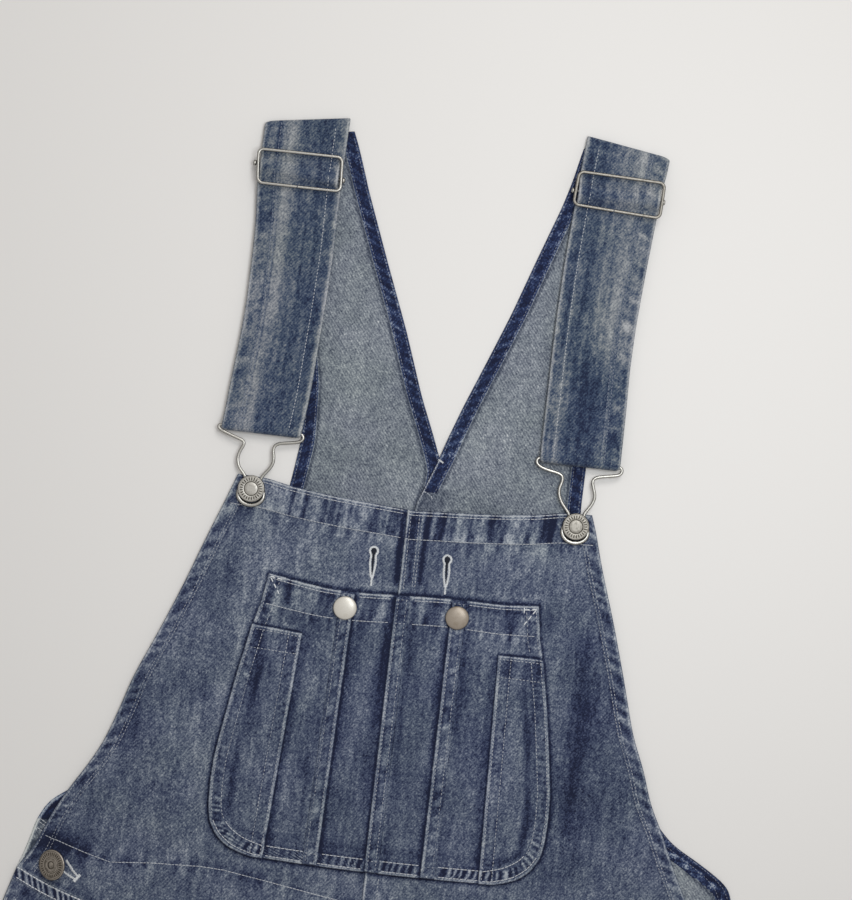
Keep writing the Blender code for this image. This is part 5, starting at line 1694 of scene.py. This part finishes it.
worked("tack_neck", "cloth_back_right", [([(12.6, -24.2), (15.9, -22.6)], 1.6)], 49)
print("buttonholes worked")

# %% [markdown]
# ## What each piece stands for
# Every piece of cloth replaces its CAD solid, and the flat size it was cut to, which for laid cloth is the
# size that it covers, is printed.

# %% Replaced nodes and sheet sizes
# piece, the node it replaces, what it rests on, its slot, the sewn pieces on it
CLOTHS = [
    (
        "cloth_back_left", "back_left", [], "denim_wrong",
        ["stitch_back_left", "stitch_waist_corner", "stitch_under_left"],
    ),
    (
        "cloth_back_right", "back_right", ["cloth_back_left"], "denim_wrong",
        ["stitch_back_right", "stitch_neck_point", "tack_neck", "stitch_under_right"],
    ),
    ("cloth_leg_back_left", "back_leg_left", [], "denim_face", ["stitch_leg_back_left"]),
    ("cloth_leg_back_right", "back_leg_right", [], "denim_face", ["stitch_leg_back_right"]),
    (
        "cloth_leg_front_left", "front_leg_left", ["cloth_leg_back_left"], "denim_face",
        ["stitch_leg_front_left", "seam_waist_left", "stitch_waist_left"],
    ),
    (
        "cloth_leg_front_right", "front_leg_right", ["cloth_leg_back_right"], "denim_face",
        ["stitch_leg_front_right", "seam_waist_right", "stitch_waist_right"],
    ),
    (
        "cloth_bib_left", "bib_front_left", ["cloth_back_left"], "denim_face",
        ["stitch_bib_left", "stitch_top_left", "buttonhole_left", "slit_left", "buttonhole_waist_left"],
    ),
    (
        "cloth_bib_right", "bib_front_right", ["cloth_back_right", "cloth_bib_left"], "denim_face",
        ["stitch_bib_right", "stitch_top_right", "buttonhole_right", "slit_right", "buttonhole_waist_right"],
    ),
    (
        "cloth_pocket", "chest_pocket", ["cloth_bib_left", "cloth_bib_right"], "denim_face",
        ["stitch_pocket", "stitch_pocket_low", "stitch_pocket_top", "stitch_corners"],
    ),
    ("cloth_band_a", "pocket_strip_a", ["cloth_pocket"], "denim_face", ["stitch_band_a"]),
    ("cloth_band_b", "pocket_strip_b", ["cloth_pocket"], "denim_face", ["stitch_band_b"]),
    ("cloth_band_c", "pocket_strip_c", ["cloth_pocket"], "denim_face", ["stitch_band_c"]),
    (
        "cloth_pen_pocket_left", "small_pocket_left", ["cloth_pocket"], "denim_face",
        ["stitch_pen_pocket_left", "stitch_pen_low_left"],
    ),
    (
        "cloth_pen_pocket_right", "small_pocket_right", ["cloth_pocket"], "denim_face",
        ["stitch_pen_pocket_right", "stitch_pen_low_right"],
    ),
    (
        "cloth_strap_left", "strap_left", ["cloth_back_left", "wire_hook_left"], "strap_denim",
        ["stitch_strap_left", "stitch_inner_left"],
    ),
    (
        "cloth_strap_right", "strap_right", ["cloth_back_right", "wire_hook_right"], "strap_denim",
        ["stitch_strap_right", "stitch_inner_right"],
    ),
]  # fmt: skip
for name, node, rests, slot, sewn in CLOTHS:
    piece = PIECES[name]
    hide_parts(node)
    width, length, area = SHEETS[name]
    width = max(width, 0.011)  # a band shows 9 mm, and has a little more turned under each edge
    print(f"{name}: {width * 1000:.0f} x {length * 1000:.0f} mm, {area * 1e4:.0f} cm2")

# %% [markdown]
# ## Floor, light and camera
# The garment lies on a pale, smooth, matt surface in a bright room.

# %% Floor
floor_paint, tree, bsdf = material("floor_matt_white", Roughness=0.9)
where = add(tree, "ShaderNodeTexCoord").outputs["Object"]
cloud = add(tree, "ShaderNodeTexNoise", {"Scale": 1.6, "Detail": 1.0}, {"Vector": where})
mix = add(tree, "ShaderNodeValToRGB", {}, {"Fac": cloud.outputs["Fac"]})
mix.color_ramp.elements[0].color, mix.color_ramp.elements[1].color = hexed("#EBE9E7"), hexed("#EEEDEB")
tree.links.new(mix.outputs["Color"], bsdf.inputs["Base Color"])
mesh = bpy.data.meshes.new("floor")
mesh.from_pydata([(-3, -3, 0), (3, -3, 0), (3, 3.5, 0), (-3, 3.5, 0)], [], [(0, 1, 2, 3)])
mesh.materials.append(floor_paint)
floor = bpy.data.objects.new("floor", mesh)
bpy.context.collection.objects.link(floor)

# %% [markdown]
# Two soft square lights: a wide one above the straps, like a window, draws the hems and folds with soft
# shadows, and a small near one overhead puts a glint on the metal. The room's own light is pale and even.

# %% Light
world = bpy.data.worlds.new("bright_room")
world.use_nodes = True
world.node_tree.nodes["Background"].inputs["Color"].default_value = hexed("#F6F3F0")
world.node_tree.nodes["Background"].inputs["Strength"].default_value = 0.49
bpy.context.scene.world = world
centre = place(3.7, -29.6, 0)


def soft_light(name, right, up, height, size, power, colour):
    """A square area light over the garment, aimed at the middle of the view."""
    lamp = bpy.data.lights.new(name, "AREA")
    lamp.shape, lamp.size, lamp.energy, lamp.color = "SQUARE", size, power, hexed(colour)[:3]
    made = bpy.data.objects.new(name, lamp)
    made.location = (centre[0] + right, centre[1] + up, height)
    made.rotation_euler = (Vector(centre) - made.location).to_track_quat("-Z", "Y").to_euler()
    bpy.context.collection.objects.link(made)
    return made


soft_light("window_light", 0.35, 1.1, 1.3, 0.7, 7.3, "#FFFDFA")
soft_light("lamp_near", 0.2, 0.1, 0.7, 0.3, 1.8, "#F8FCFF")

# %% [markdown]
# The camera looks straight down from 1.2 m, turned a little as the photograph was, and its lens takes in
# 585 mm from the top of the picture to the bottom.

# %% Camera
VIEW_TALL, HEIGHT = 0.585, 1.2
lens = bpy.data.cameras.new("camera")
lens.sensor_width = 36
lens.lens = 36 * HEIGHT / VIEW_TALL
camera = bpy.data.objects.new("camera", lens)
camera.location = (centre[0], centre[1], HEIGHT + 0.003)
camera.rotation_euler = (0, 0, math.radians(6.7))
bpy.context.collection.objects.link(camera)
bpy.context.scene.camera = camera
bpy.context.scene.view_settings.view_transform = "Standard"
print("camera at", [round(v, 4) for v in camera.location], "lens", round(lens.lens, 1))

# %% [markdown]
# Last, the triangles in cloth and stitches are counted, and each large piece is named.

LARGE_PIECE = 60000
triangles = 0
for thing in bpy.data.objects:
    if thing.type == "MESH" and thing.name in PIECES:
        count = sum(len(p.vertices) - 2 for p in thing.data.polygons)
        triangles += count
        if count > LARGE_PIECE:
            print(thing.name, count)
print("triangles in cloth and stitches:", triangles)
